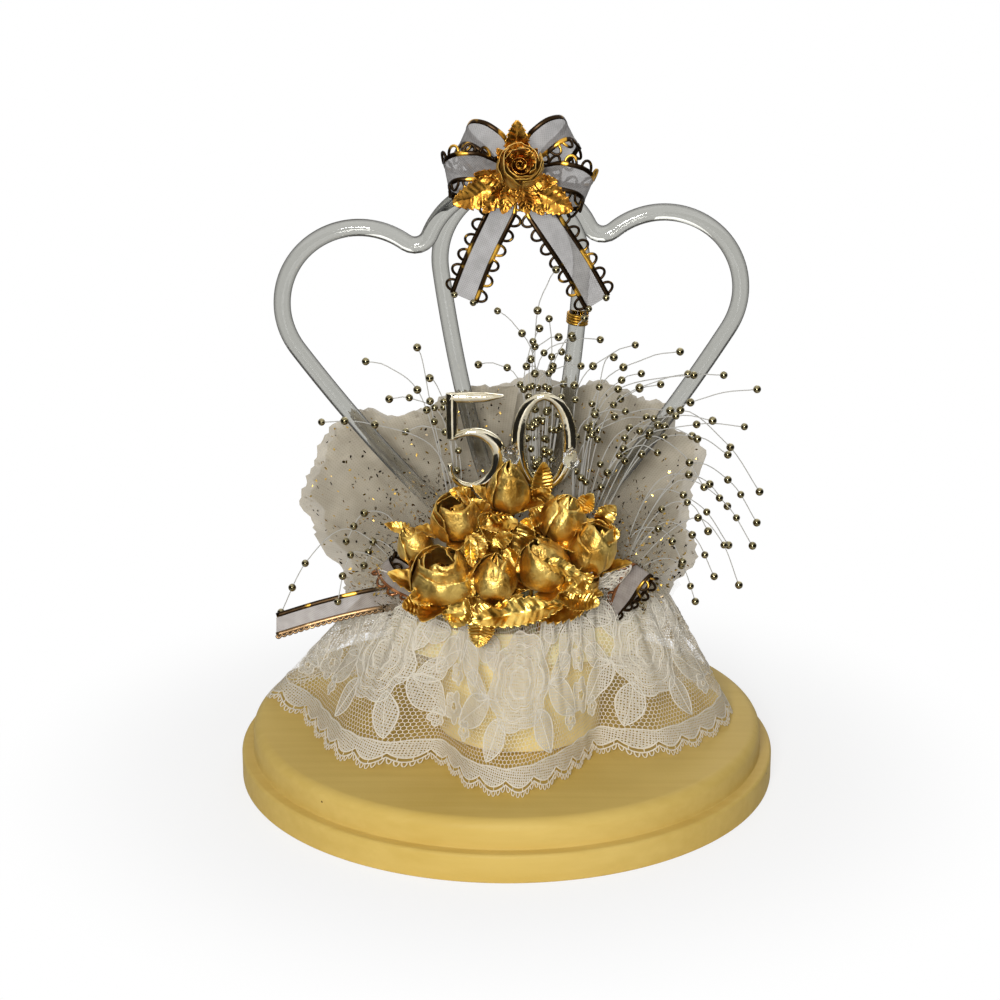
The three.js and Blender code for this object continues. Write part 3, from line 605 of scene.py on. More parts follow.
@dataclass(frozen=True)
class BrightMetal(TwoTone):
    """Vacuum-metallised or drawn metal: mirror bright, with slight ripples and rubbed patches."""

    rough: float = 0.08
    ripple_mm: float = 3.0
    relief: float = 0.12

    def surface(self, add: Adder) -> Socket:
        """Adds the metal's nodes.

        Args:
            add: Adds a node to the material.

        Returns:
            The shader that they end in.
        """
        ripple, colour = self.mottled(add, self.ripple_mm, 3.0, (0.3, 0.7))
        bump = add("Bump", {"Strength": self.relief, "Distance": 0.4 * MM, "Height": ripple})
        gloss = add("MapRange", {"Value": ripple, "To Min": self.rough * 0.5, "To Max": self.rough * 1.8})
        return add("BsdfPrincipled", {
            "Base Color": colour, "Metallic": 1.0, "Roughness": gloss, "Normal": bump,
        }).outputs[0]


@dataclass(frozen=True)
class LurexCord(TwoTone):
    """Twisted lurex cord: dull dark metal, bumped by its twist, with light gold patches from the same noise
    as painted glints.
    """

    glint_and_twist_mm: float = 5.0

    def surface(self, add: Adder) -> Socket:
        """Adds the cord's nodes.

        Args:
            add: Adds a node to the material.

        Returns:
            The shader that they end in.
        """
        # Painted glints: the noise that bumps the twist also lays patches of the light tone.
        twist, colour = self.mottled(add, self.glint_and_twist_mm, 1.0, (0.56, 0.66))
        bump = add("Bump", {"Strength": 0.5, "Distance": 0.3 * MM, "Height": twist})
        return add("BsdfPrincipled", {
            "Base Color": colour, "Metallic": 0.9, "Roughness": 0.3, "Normal": bump,
        }).outputs[0]


@dataclass(frozen=True)
class SpunThread(TwoTone):
    """Spun or drawn thread: matt and pale, lets some light through. Its lay is drawn coarser to show."""

    lay_mm: float = 0.5
    cloud_mm: float = 18.0
    glow: float = 0.25

    def surface(self, add: Adder) -> Socket:
        """Adds the thread's nodes.

        Args:
            add: Adds a node to the material.

        Returns:
            The shader that they end in.
        """
        _, colour = self.mottled(add, self.cloud_mm, 2.0, (0.0, 1.0))
        place = add("TexCoord").outputs["Object"]
        lay = add("TexNoise", {"Vector": place, "Scale": scale_of(self.lay_mm), "Detail": 3.0})
        bump = add("Bump", {"Strength": 0.4, "Distance": 0.2 * MM, "Height": lay})
        body = add("BsdfPrincipled", {
            "Base Color": colour, "Roughness": 0.8, "Sheen Weight": 0.2, "Normal": bump,
        })
        through = add("BsdfTranslucent", {"Color": colour})
        return add("MixShader", {0: self.glow, 1: body, 2: through}).outputs[0]


@dataclass(frozen=True)
class SheerCloth(TwoTone):
    """Sheer woven or netted cloth: threads that let light through, with open gaps between them.

    The real threads are finer than a pixel, so each cloth's pitch is drawn as coarse as it needs to show.
    """

    pitch_mm: float
    cover: float
    gaps: float
    glow: float = 0.35
    turn: float = 0.0
    cloud_mm: float = 9.0
    thins_mm: Pair | None = None
    thin_share: float = 0.08

    def surface(self, add: Adder) -> Socket:
        """Adds the cloth's nodes.

        Args:
            add: Adds a node to the material.

        Returns:
            The shader that they end in.
        """
        cloth = add("UVMap", uv_map="flat_cloth")
        waves = math.tau * scale_of(self.pitch_mm)
        laid = add("Mapping", {
            "Vector": cloth, "Rotation": (0, 0, self.turn), "Scale": (waves, waves, 1),
        })
        ways = add("SeparateXYZ", {0: laid})
        warp = add("Math", {0: ways.outputs[0]}, operation="SINE")
        weft = add("Math", {0: ways.outputs[1]}, operation="SINE")
        both = add("Math", {0: warp, 1: weft}, operation="MULTIPLY")
        shown = add("MapRange", {
            "Value": both, "From Min": 0.1, "From Max": 0.6, "To Min": self.cover, "To Max": self.gaps,
        })
        if self.thins_mm:
            start, end = self.thins_mm
            high = add("SeparateXYZ", {0: cloth}).outputs[1]
            left = add("MapRange", {
                "Value": high, "From Min": start * MM, "From Max": end * MM,
                "To Min": 1.0, "To Max": self.thin_share,
            })
            shown = add("Math", {0: shown, 1: left}, operation="MULTIPLY")
        _, colour = self.mottled(add, self.cloud_mm, 3.0, (0.35, 0.65))
        body = add("BsdfPrincipled", {"Base Color": colour, "Roughness": 0.8, "Specular IOR Level": 0.2})
        through = add("BsdfTranslucent", {"Color": colour})
        threads = add("MixShader", {0: self.glow, 1: body, 2: through})
        return add("MixShader", {0: shown, 1: add("BsdfTransparent"), 2: threads}).outputs[0]


@dataclass(frozen=True)
class PaperFloor(Finish):
    """White paper: takes the object's shadow close by, and is plain white further out."""

    colour: str
    shadow_mm: Pair = (90.0, 180.0)
    white_share: float = 0.78

    def surface(self, add: Adder) -> Socket:
        """Adds the paper's nodes.

        Args:
            add: Adds a node to the material.

        Returns:
            The shader that they end in.
        """
        start, end = self.shadow_mm
        paper = add("BsdfDiffuse", {"Color": srgb(self.colour)})
        white = add("Emission", {"Color": (1, 1, 1, 1), "Strength": 1.0})
        ray = add("LightPath").outputs
        seen = add("Math", {0: ray["Is Camera Ray"], 1: ray["Is Transmission Ray"]}, operation="MAXIMUM")
        away = add("VectorMath", {0: add("TexCoord").outputs["Object"]}, operation="LENGTH").outputs["Value"]
        far = add("MapRange", {
            "Value": away, "From Min": start * MM, "From Max": end * MM,
            "To Min": self.white_share, "To Max": 1.0,
        }, interpolation_type="SMOOTHSTEP")
        share = add("Math", {0: seen, 1: far}, operation="MULTIPLY")
        return add("MixShader", {0: share, 1: paper, 2: white}).outputs[0]


@dataclass(frozen=True)
class BlackCard(Finish):
    """Black card: a dark matt field for bright metal and clear rods to mirror."""

    colour: str

    def surface(self, add: Adder) -> Socket:
        """Adds the card's one node and returns its shader."""
        return add("BsdfPrincipled", {"Base Color": srgb(self.colour)}).outputs[0]


# Turned pine under two coats: a warm gold with faint streaks, and a paler cream with broader ones.
GOLD_ENAMEL = BrushedEnamel("satin_gold_enamel_on_pine", "#dabc6a", "#d0b05c", "#5c431a")
CREAM_ENAMEL = BrushedEnamel(
    "satin_cream_enamel_on_pine", "#fdeca8", "#f5df94", "#a98f55", streak_wide_mm=5.0,
)
# Foam that shows through the lace as a pale, beaded ground, with painted shade in the grooves between the
# beads.
POLYSTYRENE = FoamBlock("cream_brushed_polystyrene", "#f6e8b4", "#c9b984")
# Clear plastics: rods tinted grey as painted shade of dim surroundings seen through them, grey-edged with
# painted shade; a pick that is hardly seen and milky lumps of glue.
ACRYLIC = ClearAcrylic("clear_moulded_acrylic", "#b2b2ac", edge_shade_share=0.9)
CLEAR_PICK = ClearAcrylic("clear_styrene_pick", "#f4f4f2", body=0.16)
GLUE = ClearAcrylic("clear_hot_glue", "#f2f2ee", rough=0.12, flow_mm=2.0)
# Foils: sharp creases on the roses, flatter leaves, a dull small rose, amber leaves, and darker copper-toned
# hearts, a colour that is painted shade in the roses' recesses.
ROSE_FOIL = Foil("gold_rose_foil", "#e6c46c", "#b48738", crease_mm=3.4, rough=0.39, relief=0.5)
LEAF_FOIL = Foil(
    "gold_leaf_foil", "#ecc768", "#bb8b35", crease_mm=3.4, grain_mm=1.0, rough=0.32, relief=0.24,
)
OLIVE_FOIL = Foil("olive_gold_rose_foil", "#d6b266", "#b58d40", crease_mm=3.5, rough=0.42, relief=0.2)
AMBER_FOIL = Foil("amber_gold_leaf_foil", "#cf9a40", "#85531a", crease_mm=3.0, relief=0.26)
HEART_SHADE_FOIL = Foil("painted_shade_heart_foil", "#cf9440", "#8a5418", rough=0.26)
# Metals: dull wrapped wire, pale mirror-like numerals, darker beads and two colours of glitter.
GOLD_WIRE = BrightMetal(
    "gold_paper_wrapped_wire", "#c79a3e", "#8a6420", rough=0.35, ripple_mm=1.2, relief=0.4,
)
CHAMPAGNE_METAL = BrightMetal("champagne_metallised_plastic", "#ded6c0", "#c9bd9d", rough=0.06)
BEAD_METAL = BrightMetal("antique_metallised_bead", "#a39a78", "#6f6546", rough=0.1, ripple_mm=1.5)
GOLD_GLITTER = BrightMetal("gold_glitter_flake", "#d9b45a", "#8d6d2a", rough=0.15)
DARK_GLITTER = BrightMetal("bronze_glitter_flake", "#4c4334", "#2a241a", rough=0.2)
# Border cords, each with painted glints: nearly black with gold glints, and the warmer ones of the side
# ribbons.
GILT = LurexCord("antique_gold_lurex_cord", "#d9a63f", "#2b1d0c")
COPPER_CORD = LurexCord("copper_lurex_cord", "#d89a6a", "#8a5a38")
TAN_CORD = LurexCord("tan_lurex_cord", "#b39268", "#7d6345")
# Plain-woven organza: a silvery haze that the rods show through.
ORGANZA = SheerCloth("silver_sheer_organza", "#a29f9d", "#8e8b89", 0.8, 0.92, 0.6, cloud_mm=4.0)
PALE_ORGANZA = SheerCloth("pale_sheer_organza", "#b7aea7", "#9f968f", 0.8, 0.9, 0.6, cloud_mm=4.0)
# Netted tulle, laid on the bias: a soft beige veil, thinner towards the rim where it is single.
TULLE = SheerCloth("glitter_tulle", "#c4bba8", "#aaa18f", 1.2, 0.92, 0.78, turn=math.pi / 4)
THIN_TULLE = SheerCloth(
    "single_glitter_tulle", "#c8c0ad", "#b0a795", 1.2, 0.88, 0.7, turn=math.pi / 4, thins_mm=(28.0, 54.0),
)
# Lace stitches: open half stitch in the motifs, and denser whole stitch along the hem.
LACE_FILL = SheerCloth("lace_half_stitch", "#e2dccd", "#d3cdbf", 1.4, 0.86, 0.0, 0.2, math.pi / 5, 18.0)
LACE_BAND = SheerCloth("lace_whole_stitch", "#e2dccd", "#d3cdbf", 1.2, 0.88, 0.08, 0.2, math.pi / 5, 18.0)
# Threads: warm white mercerised cotton, and clear grey filament with a smoother run.
COTTON = SpunThread("warm_white_cotton", "#efe9db", "#dfd9cb")
NYLON = SpunThread("drawn_nylon_filament", "#cfcdc6", "#b7b5ae", lay_mm=2.0)
# The studio's paper and cards.
FLOOR_PAPER = PaperFloor("white_paper_floor", "#f6f6f6")
CARD = BlackCard("black_card", "#1a1a1a")


def keep(node: str, finish: Finish) -> None:
    """Gives a solid that stays as it is its finish.

    Args:
        node: The solid.
        finish: Its finish.
    """
    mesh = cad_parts[node].data
    mesh.materials.clear()
    mesh.materials.append(finish.material())
    log.info("%s: kept, %s", node, finish.name)


@cache
def box_mm(node: str) -> tuple[Vector, Vector]:
    """Returns a solid's lowest and highest corner in millimetres."""
    low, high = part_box(node)
    return low / MM, high / MM


def middle_of(node: str) -> Vector:
    """Returns the middle of a solid's box in millimetres."""
    low, high = box_mm(node)
    return (low + high) / 2


FOAM_LOW, FOAM_HIGH = box_mm("foam_block")
BOUQUET = vec((FOAM_LOW.x + FOAM_HIGH.x) / 2, (FOAM_LOW.y + FOAM_HIGH.y) / 2, FOAM_HIGH.z)


@dataclass
class Stand:
    """The turned plaque, and the drum and foam block that carry the bouquet."""

    ledge: float = 4.0
    step: float = 9.5
    shoulder: float = 3.6
    lower_round: float = 1.1
    cove: float = 0.5
    arris: float = 0.7
    plaque_sides: int = 192
    drum_sides: int = 120

    def turned(self, outline: Sequence[Pair], axis: Pair, sides: int) -> Shell:
        """Turns an outline about an upright axis and closes its ends with discs.

        Args:
            outline: Radius and height at each step, from the underside up.
            axis: Where the axis stands, across and back.
            sides: Steps round.

        Returns:
            The turned faces.
        """
        x, y = axis
        shell = Shell()
        rows = [[vec(x + r * a, y + r * b, z) for a, b in circle(sides)] for r, z in outline]
        shell.grid(rows, ring=True, capped=True)
        return shell

    def plaque(self) -> None:
        """Turns the two-step plaque."""
        low, high = box_mm("base_plate")
        radius, top = high.x, high.z
        upper = radius - self.ledge
        outline = [
            (radius * 0.5, low.z),
            *arc(radius - self.arris, self.arris, self.arris, -90, 0, 4),
            *arc(radius - self.lower_round, self.step - self.lower_round, self.lower_round, 0, 90, 6),
            *arc(upper + self.cove, self.step + self.cove, self.cove, -90, -180, 4),
            *arc(upper - self.shoulder, top - self.shoulder, self.shoulder, 0, 90, 8),
            (radius * 0.6, top),
            (radius * 0.3, top),
        ]
        shell = self.turned(outline, (0, 0), self.plaque_sides)
        shell.piece("plaque", [GOLD_ENAMEL], "painted_wood", ["base_plate"])

    def drum(self) -> None:
        """Turns the drum that stands under the lace."""
        low, high = box_mm("pedestal")
        radius = (high.x - low.x) / 2
        outline = [
            (radius * 0.5, low.z),
            *arc(radius - self.arris, low.z + self.arris, self.arris, -90, 0, 3),
            *arc(radius - self.lower_round, high.z - self.lower_round, self.lower_round, 0, 90, 5),
            (radius * 0.5, high.z),
        ]
        shell = self.turned(outline, ((low.x + high.x) / 2, (low.y + high.y) / 2), self.drum_sides)
        shell.piece("drum", [CREAM_ENAMEL], "cream_paint", ["pedestal"])

    def build(self) -> None:
        """Builds the stand."""
        self.plaque()
        self.drum()
        keep("foam_block", POLYSTYRENE)


@dataclass
class Hearts:
    """Two clear heart frames of moulded rod that cross, each with a peg in the foam.

    Each heart's stand is where its tip is across, its depth and its tilt in degrees.
    """

    left: Triple = (0.8, -2.7, 16.4)
    right: Triple = (1.7, 2.7, -11.8)
    rod: float = 2.7
    rod_sides: int = 32
    rod_steps: int = 240
    peg: float = 2.2
    peg_sides: int = 20
    peg_depth: float = 8.0
    lobe_radius: float = 24.6
    lobe_x: float = 23.4
    lobe_rise: float = 101.0
    lobe_start: float = -19.6
    lobe_steps: int = 44
    limb_reach: float = 58.6
    limb_steps: int = 30
    tip_radius: float = 6.0
    cleft_radius: float = 5.0
    tip_rise: float = 10.4
    groove: float = 0.11
    groove_width: float = 9.0
    groove_turns: Triple = (50.0, 90.0, 130.0)
    thread: float = 0.5
    thread_sides: int = 7
    thread_gap: float = 0.35
    band_turns: int = 4
    band_height: float = 3.4
    band_steps: int = 120

    def outline(self) -> list[Pair]:
        """Draws the heart's closed line: a round tip, bent limbs, round lobes and a round cleft.

        Returns:
            Its points, from the tip round the right side and back.
        """
        start = math.radians(self.lobe_start)
        from_x = self.lobe_x + self.lobe_radius * math.cos(start)
        from_z = self.lobe_rise + self.lobe_radius * math.sin(start)
        bend_x = from_x + math.sin(start) * self.limb_reach
        bend_z = from_z - math.cos(start) * self.limb_reach
        splay = math.degrees(math.atan2(bend_x, bend_z))
        tip = self.tip_radius / math.sin(math.radians(splay))
        cleft = self.lobe_rise + math.sqrt((self.lobe_radius + self.cleft_radius) ** 2 - self.lobe_x ** 2)
        turn = math.degrees(math.atan2(self.lobe_rise - cleft, self.lobe_x))
        half = arc(0, tip, self.tip_radius, -90, -splay, 6)
        foot_x, foot_z = half[-1]
        for k in range(1, self.limb_steps):
            t = k / self.limb_steps
            half.append((
                (1 - t) ** 2 * foot_x + 2 * t * (1 - t) * bend_x + t * t * from_x,
                (1 - t) ** 2 * foot_z + 2 * t * (1 - t) * bend_z + t * t * from_z,
            ))
        lobe_end = 180 + turn
        half += arc(self.lobe_x, self.lobe_rise, self.lobe_radius, self.lobe_start, lobe_end, self.lobe_steps)
        half += arc(0, cleft, self.cleft_radius, turn, -90, 8)[1:]
        return half + [(-x, z) for x, z in half[-2:0:-1]]

    def path(self, stand: Triple) -> list[Vector]:
        """Stands the heart's line over the foam.

        Args:
            stand: The heart's stand.

        Returns:
            The line's points in the part's frame.
        """
        tip_x, y, tilt = stand
        cos, sin = math.cos(math.radians(tilt)), math.sin(math.radians(tilt))
        return [
            BOUQUET + vec(tip_x + (x * cos - z * sin), y, self.tip_rise + (x * sin + z * cos))
            for x, z in self.outline()
        ]

    def section(self) -> list[Pair]:
        """Draws the rod's round section with the three shallow mould lines along its back.

        Returns:
            The section's points at unit radius.
        """
        points = []
        for k in range(self.rod_sides):
            turn = 360 * k / self.rod_sides
            dip = sum(math.exp(-((turn - at) / self.groove_width) ** 2) for at in self.groove_turns)
            reach = 1 - self.groove * dip
            points.append((reach * math.sin(math.radians(turn)), reach * math.cos(math.radians(turn))))
        return points[::-1]

    def frames(self) -> None:
        """Builds both hearts."""
        for side, stand in (("left", self.left), ("right", self.right)):
            path = self.path(stand)
            path = even([*path, path[0]], self.rod_steps + 1)[:-1]
            shell = Shell()
            sizes = [(self.rod, self.rod)] * self.rod_steps
            shell.sweep(path, [-FRONT] * self.rod_steps, self.section(), sizes, loop=True)
            foot = path[0]
            end = vec(foot.x, foot.y, BOUQUET.z - self.peg_depth)
            shell.tube([foot, foot.lerp(end, 0.5), end], self.peg, self.peg_sides)
            shell.piece(f"{side}_heart_rod", [ACRYLIC], "clear_acrylic", [f"{side}_heart"])

    def band(self) -> None:
        """Builds the gold thread wound round the left heart's inner limb."""
        middle = middle_of("gold_band")
        path = self.path(self.left)
        nearest = min(range(1, len(path) - 1), key=lambda k: (path[k] - middle).length)
        limb = (path[nearest + 1] - path[nearest - 1]).normalized()
        aside = limb.cross(FRONT).normalized()
        coil = []
        for k in range(self.band_steps + 1):
            turn = math.tau * self.band_turns * k / self.band_steps
            climb = self.band_height * (k / self.band_steps - 0.5)
            out = aside * math.cos(turn) + FRONT * math.sin(turn)
            coil.append(middle + limb * climb + out * (self.rod + self.thread_gap))
        shell = Shell()
        shell.tube(coil, self.thread, self.thread_sides)
        shell.piece("gold_thread_band", [GOLD_WIRE], "gold_wire", ["gold_band"])

    def build(self) -> None:
        """Builds the hearts and the band on one of them."""
        self.frames()
        self.band()


class Edge(Enum):
    """An edge of a ribbon: the way across it, from its middle."""

    UPPER = 1
    LOWER = -1


@dataclass
class Ribbon:
    """Sheer ribbon with cord borders and a row of looped picots down each edge."""

    body: float = 6.4
    border: float = 1.5
    border_thick: float = 0.2
    picot: float = 2.5
    pitch: float = 4.9
    loop_share: float = 0.34
    loop_steps: int = 12
    cord: float = 0.46
    columns: int = 8
    steps: int = 56

    def lay(
        self,
        shell: Shell,
        path: Line,
        sides: Line,
        pinch: Callable[[float], float],
        picots: Sequence[Edge] = tuple(Edge),
    ) -> None:
        """Lays ribbon along a path.

        Args:
            shell: What takes the faces: coat 0 is the cloth, 1 and 2 the upper and lower borders.
            path: Even steps along the ribbon's middle.
            sides: The direction of its width at each step.
            pinch: Share of the full width at each share of the length.
            picots: Which edges show their loops.
        """
        last = len(path) - 1
        shares = [k / last for k in range(len(path))]
        total = length_of(path)
        teeth = max(round(total / self.pitch), 1)
        half = self.body / 2
        rows, flat = [], []
        for point, side, share in zip(path, sides, shares):
            wide = half * pinch(share)
            row = [mix(-1, 1, i / self.columns) for i in range(self.columns + 1)]
            rows.append([point + side * (wide * w) for w in row])
            flat.extend((w * half, share * total) for w in row)
        shell.grid(rows, 0, flat=flat)
        middle = half + self.border / 2
        for coat, edge in enumerate(Edge, start=1):
            line = [p + s * (edge.value * middle * pinch(t)) for p, s, t in zip(path, sides, shares)]
            sizes = [(max(self.border / 2 * pinch(t), 0.25), self.border_thick) for t in shares]
            shell.sweep(line, sides, circle(8), sizes, coat)
            # The half loops of cord along this edge.
            for tooth in range(teeth if edge in picots else 0):
                loop = []
                for k in range(self.loop_steps + 1):
                    turn = math.pi * k / self.loop_steps
                    share = (tooth + 0.5 - self.loop_share * math.cos(turn)) / teeth
                    whole = min(int(share * last), last - 1)
                    part = share * last - whole
                    point = path[whole].lerp(path[whole + 1], part)
                    side = sides[whole].lerp(sides[whole + 1], part).normalized()
                    wide = (half + self.border * 0.7 + self.picot * math.sin(turn)) * pinch(share)
                    loop.append(point + side * (edge.value * wide))
                shell.tube(loop, self.cord, 7, coat)

    def cut(
        self, shell: Shell, name: str, finishes: Sequence[Finish], node: str, path: Line, rests_on: str,
    ) -> None:
        made = shell.piece(name, finishes, "sheer_ribbon", [node])


@dataclass
class Leaf:
    """A serrated foil leaf, folded along its rib, with pressed veins."""

    base: Vector
    tip: Vector
    face: Vector
    width: float
    curl: float
    teeth: int = 7
    vein: float = 0.42
    crumple: float = 0.3
    columns: int = 14
    rows_per_tooth: int = 6

    def blade(self, shell: Shell, coat: int = 0) -> None:
        """Adds the blade to a shell.

        Args:
            shell: What takes the faces.
            coat: The blade's finish.
        """
        along = self.tip - self.base
        across = along.cross(self.face).normalized()
        up = across.cross(along).normalized()
        count = self.teeth * self.rows_per_tooth
        rows = []
        for j in range(count + 1):
            v = j / count
            outline = math.sin(math.pi * mix(0.05, 0.985, v)) ** 0.72
            saw = 1 - (v * self.teeth) % 1
            row = []
            for i in range(self.columns + 1):
                w = 2 * i / self.columns - 1
                notch = mix(1, 0.74 + 0.26 * saw, abs(w) ** 3)
                half = self.width / 2 * outline * notch
                drift = 0.3 * noise.noise(self.base * 0.3 + vec(2.5 * v, w, 0))
                wave = 1 - abs(math.sin(math.pi * (v * self.teeth - abs(w) * 1.3 + drift))) ** 0.7
                lift = self.curl * v * v + 0.16 * self.width * abs(w) * math.sin(math.pi * v)
                lift += self.vein * wave * min(abs(w) * 3, 1) * outline
                point = self.base + along * v + across * (w * half) + up * lift
                row.append(point + up * (self.crumple * noise.noise(point * 0.35)))
            rows.append(row)
        shell.grid(rows, coat)


class Opening(Enum):
    """How far a rose has opened: the width of its mouth as a share of its widest part."""

    BUD = 0.18
    HALF = 0.27
    OPEN = 0.8


@dataclass
class Rose:
    """A foil rose: petals wrapped round each other, with leafy sepals under them."""

    name: str
    middle: Vector
    axis: Vector
    width: float
    length: float
    opening: Opening
    sepals: int = 4
    sepal_reach: float = 0.95
    belly: float = 0.4
    petal_rows: int = 14
    petal_columns: int = 16
    core_rows: int = 8
    core_columns: int = 40
    core_turns: float = 2.1

    def frame(self) -> tuple[Vector, Vector, Vector, Vector]:
        """Finds where the rose stands.

        Returns:
            Its foot and its own three directions, the last one up its axis.
        """
        up = self.axis.normalized()
        across = up.cross(FRONT).normalized() if abs(up.dot(FRONT)) < 0.95 else vec(1, 0, 0)
        other = up.cross(across)
        return self.middle - up * (self.length / 2), across, other, up

    def swell(self, high: float) -> float:
        """Gives the bud's radius at a height.

        Args:
            high: The height as a share of the rose's.

        Returns:
            The radius as a share of its widest.
        """
        if high < self.belly:
            return mix(0.3, 1, math.sin(math.pi / 2 * high / self.belly) ** 0.8)
        return mix(self.opening.value, 1, math.cos(math.pi / 2 * min((high - self.belly) / 0.62, 1)))

    def petal(
        self, shell: Shell, coat: int, turn: float, spread: float, reach: float, high: float,
        roll: float, seed: int,
    ) -> None:
        """Adds one petal.

        Args:
            shell: What takes the faces.
            coat: Its finish.
            turn: Its middle's direction round the axis, in degrees.
            spread: Half the angle that it wraps, in degrees.
            reach: Its radius as a share of the rose's.
            high: Its height as a share of the rose's.
            roll: How far its lip rolls out, as a share of the radius.
            seed: Picks its crinkles.
        """
        foot, across, other, up = self.frame()
        rows = []
        for j in range(self.petal_rows + 1):
            v = j / self.petal_rows
            row = []
            for i in range(self.petal_columns + 1):
                w = 2 * i / self.petal_columns - 1
                level = v * high * (1 - 0.1 * abs(w) ** 3 - 0.08 * w + 0.03 * math.cos(3 * w + seed))
                angle = math.radians(turn + spread * w * mix(0.75, 1, ease(v, 0, 0.4)))
                radius = self.width / 2 * (self.swell(level) * reach + 0.08 * w)
                radius += self.width / 2 * roll * ease(v, 0.84, 1) * (0.6 + 0.4 * w * w)
                crinkle = noise.noise(vec(w * 2.2 + seed * 5.3, v * 2.6, seed * 1.7))
                crinkle += 0.5 * noise.noise(vec(w * 5 + seed * 3.1, v * 5, seed * 0.7))
                radius += self.width * (0.035 + 0.02 * ease(v, 0.5, 1)) * crinkle
                flat = across * math.cos(angle) + other * math.sin(angle)
                row.append(foot + flat * radius + up * (self.length * level))
            rows.append(row)
        shell.grid(rows, coat)

    def petals(self, shell: Shell, coat: int = 0) -> None:
        """Adds the inner and outer petals, wrapped the same way round.

        Args:
            shell: What takes the faces.
            coat: The petals' finish.
        """
        seed = letter_sum(self.name)
        first = seed % 360
        lip, inner = (0.02, 1.0) if self.opening is Opening.BUD else (0.1, 0.84)
        for k in range(3):
            self.petal(shell, coat, first + 120 * k, 78, 0.8, inner, 0.0, seed + k)
        for k in range(3):
            self.petal(shell, coat, first + 55 + 120 * k, 72, 0.97, 0.93 - 0.04 * k, lip, seed + 10 + k)
        if self.opening is not Opening.BUD:
            for k in range(2):
                self.petal(shell, coat, first + 20 + 170 * k, 62, 1.06, 0.74, 0.06, seed + 20 + k)

    def core(self, shell: Shell, coat: int) -> None:
        """Adds the rolled foil at the heart of the rose.

        Args:
            shell: What takes the faces.
            coat: The core's finish.
        """
        foot, across, other, up = self.frame()
        tall = 0.92 if self.opening is Opening.BUD else 0.72
        rows = []
        for j in range(self.core_rows + 1):
            v = j / self.core_rows
            row = []
            for i in range(self.core_columns + 1):
                share = i / self.core_columns
                angle = math.tau * self.core_turns * share
                radius = self.width / 2 * mix(0.1, 0.62, share) * self.swell(0.25 + 0.7 * v)
                level = self.length * (0.2 + (tall - 0.2) * v - 0.1 * share * v)
                flat = across * math.cos(angle) + other * math.sin(angle)
                row.append(foot + flat * radius + up * level)
            rows.append(row)
        shell.grid(rows, coat)

    def leafy_base(self, shell: Shell, coat: int) -> None:
        """Adds the sepals that spread from under the rose.

        Args:
            shell: What takes the faces.
            coat: The sepals' finish.
        """
        foot, across, other, up = self.frame()
        first = letter_sum(self.name) % 90
        for k in range(self.sepals):
            angle = math.radians(first + 360 * k / self.sepals)
            flat = across * math.cos(angle) + other * math.sin(angle)
            base = foot + flat * (self.width * 0.1) - up * 0.4
            tip = foot + flat * (self.width * self.sepal_reach) + up * (self.length * 0.3)
            Leaf(base, tip, up - flat * 0.4, self.width * 0.5, curl=1.4, teeth=6).blade(shell, coat)

    def build(self, foil: float) -> None:
        """Builds the rose.

        Args:
            foil: The foil's thickness.
        """
        shell = Shell()
        self.petals(shell)
        # The heart takes the darker foil: painted shade in the rose's recess.
        self.core(shell, 2)
        self.leafy_base(shell, 1)
        node = f"rose_{self.name}"
        shell.piece(f"foil_{node}", [ROSE_FOIL, LEAF_FOIL, HEART_SHADE_FOIL], "gold_foil", [node], foil)


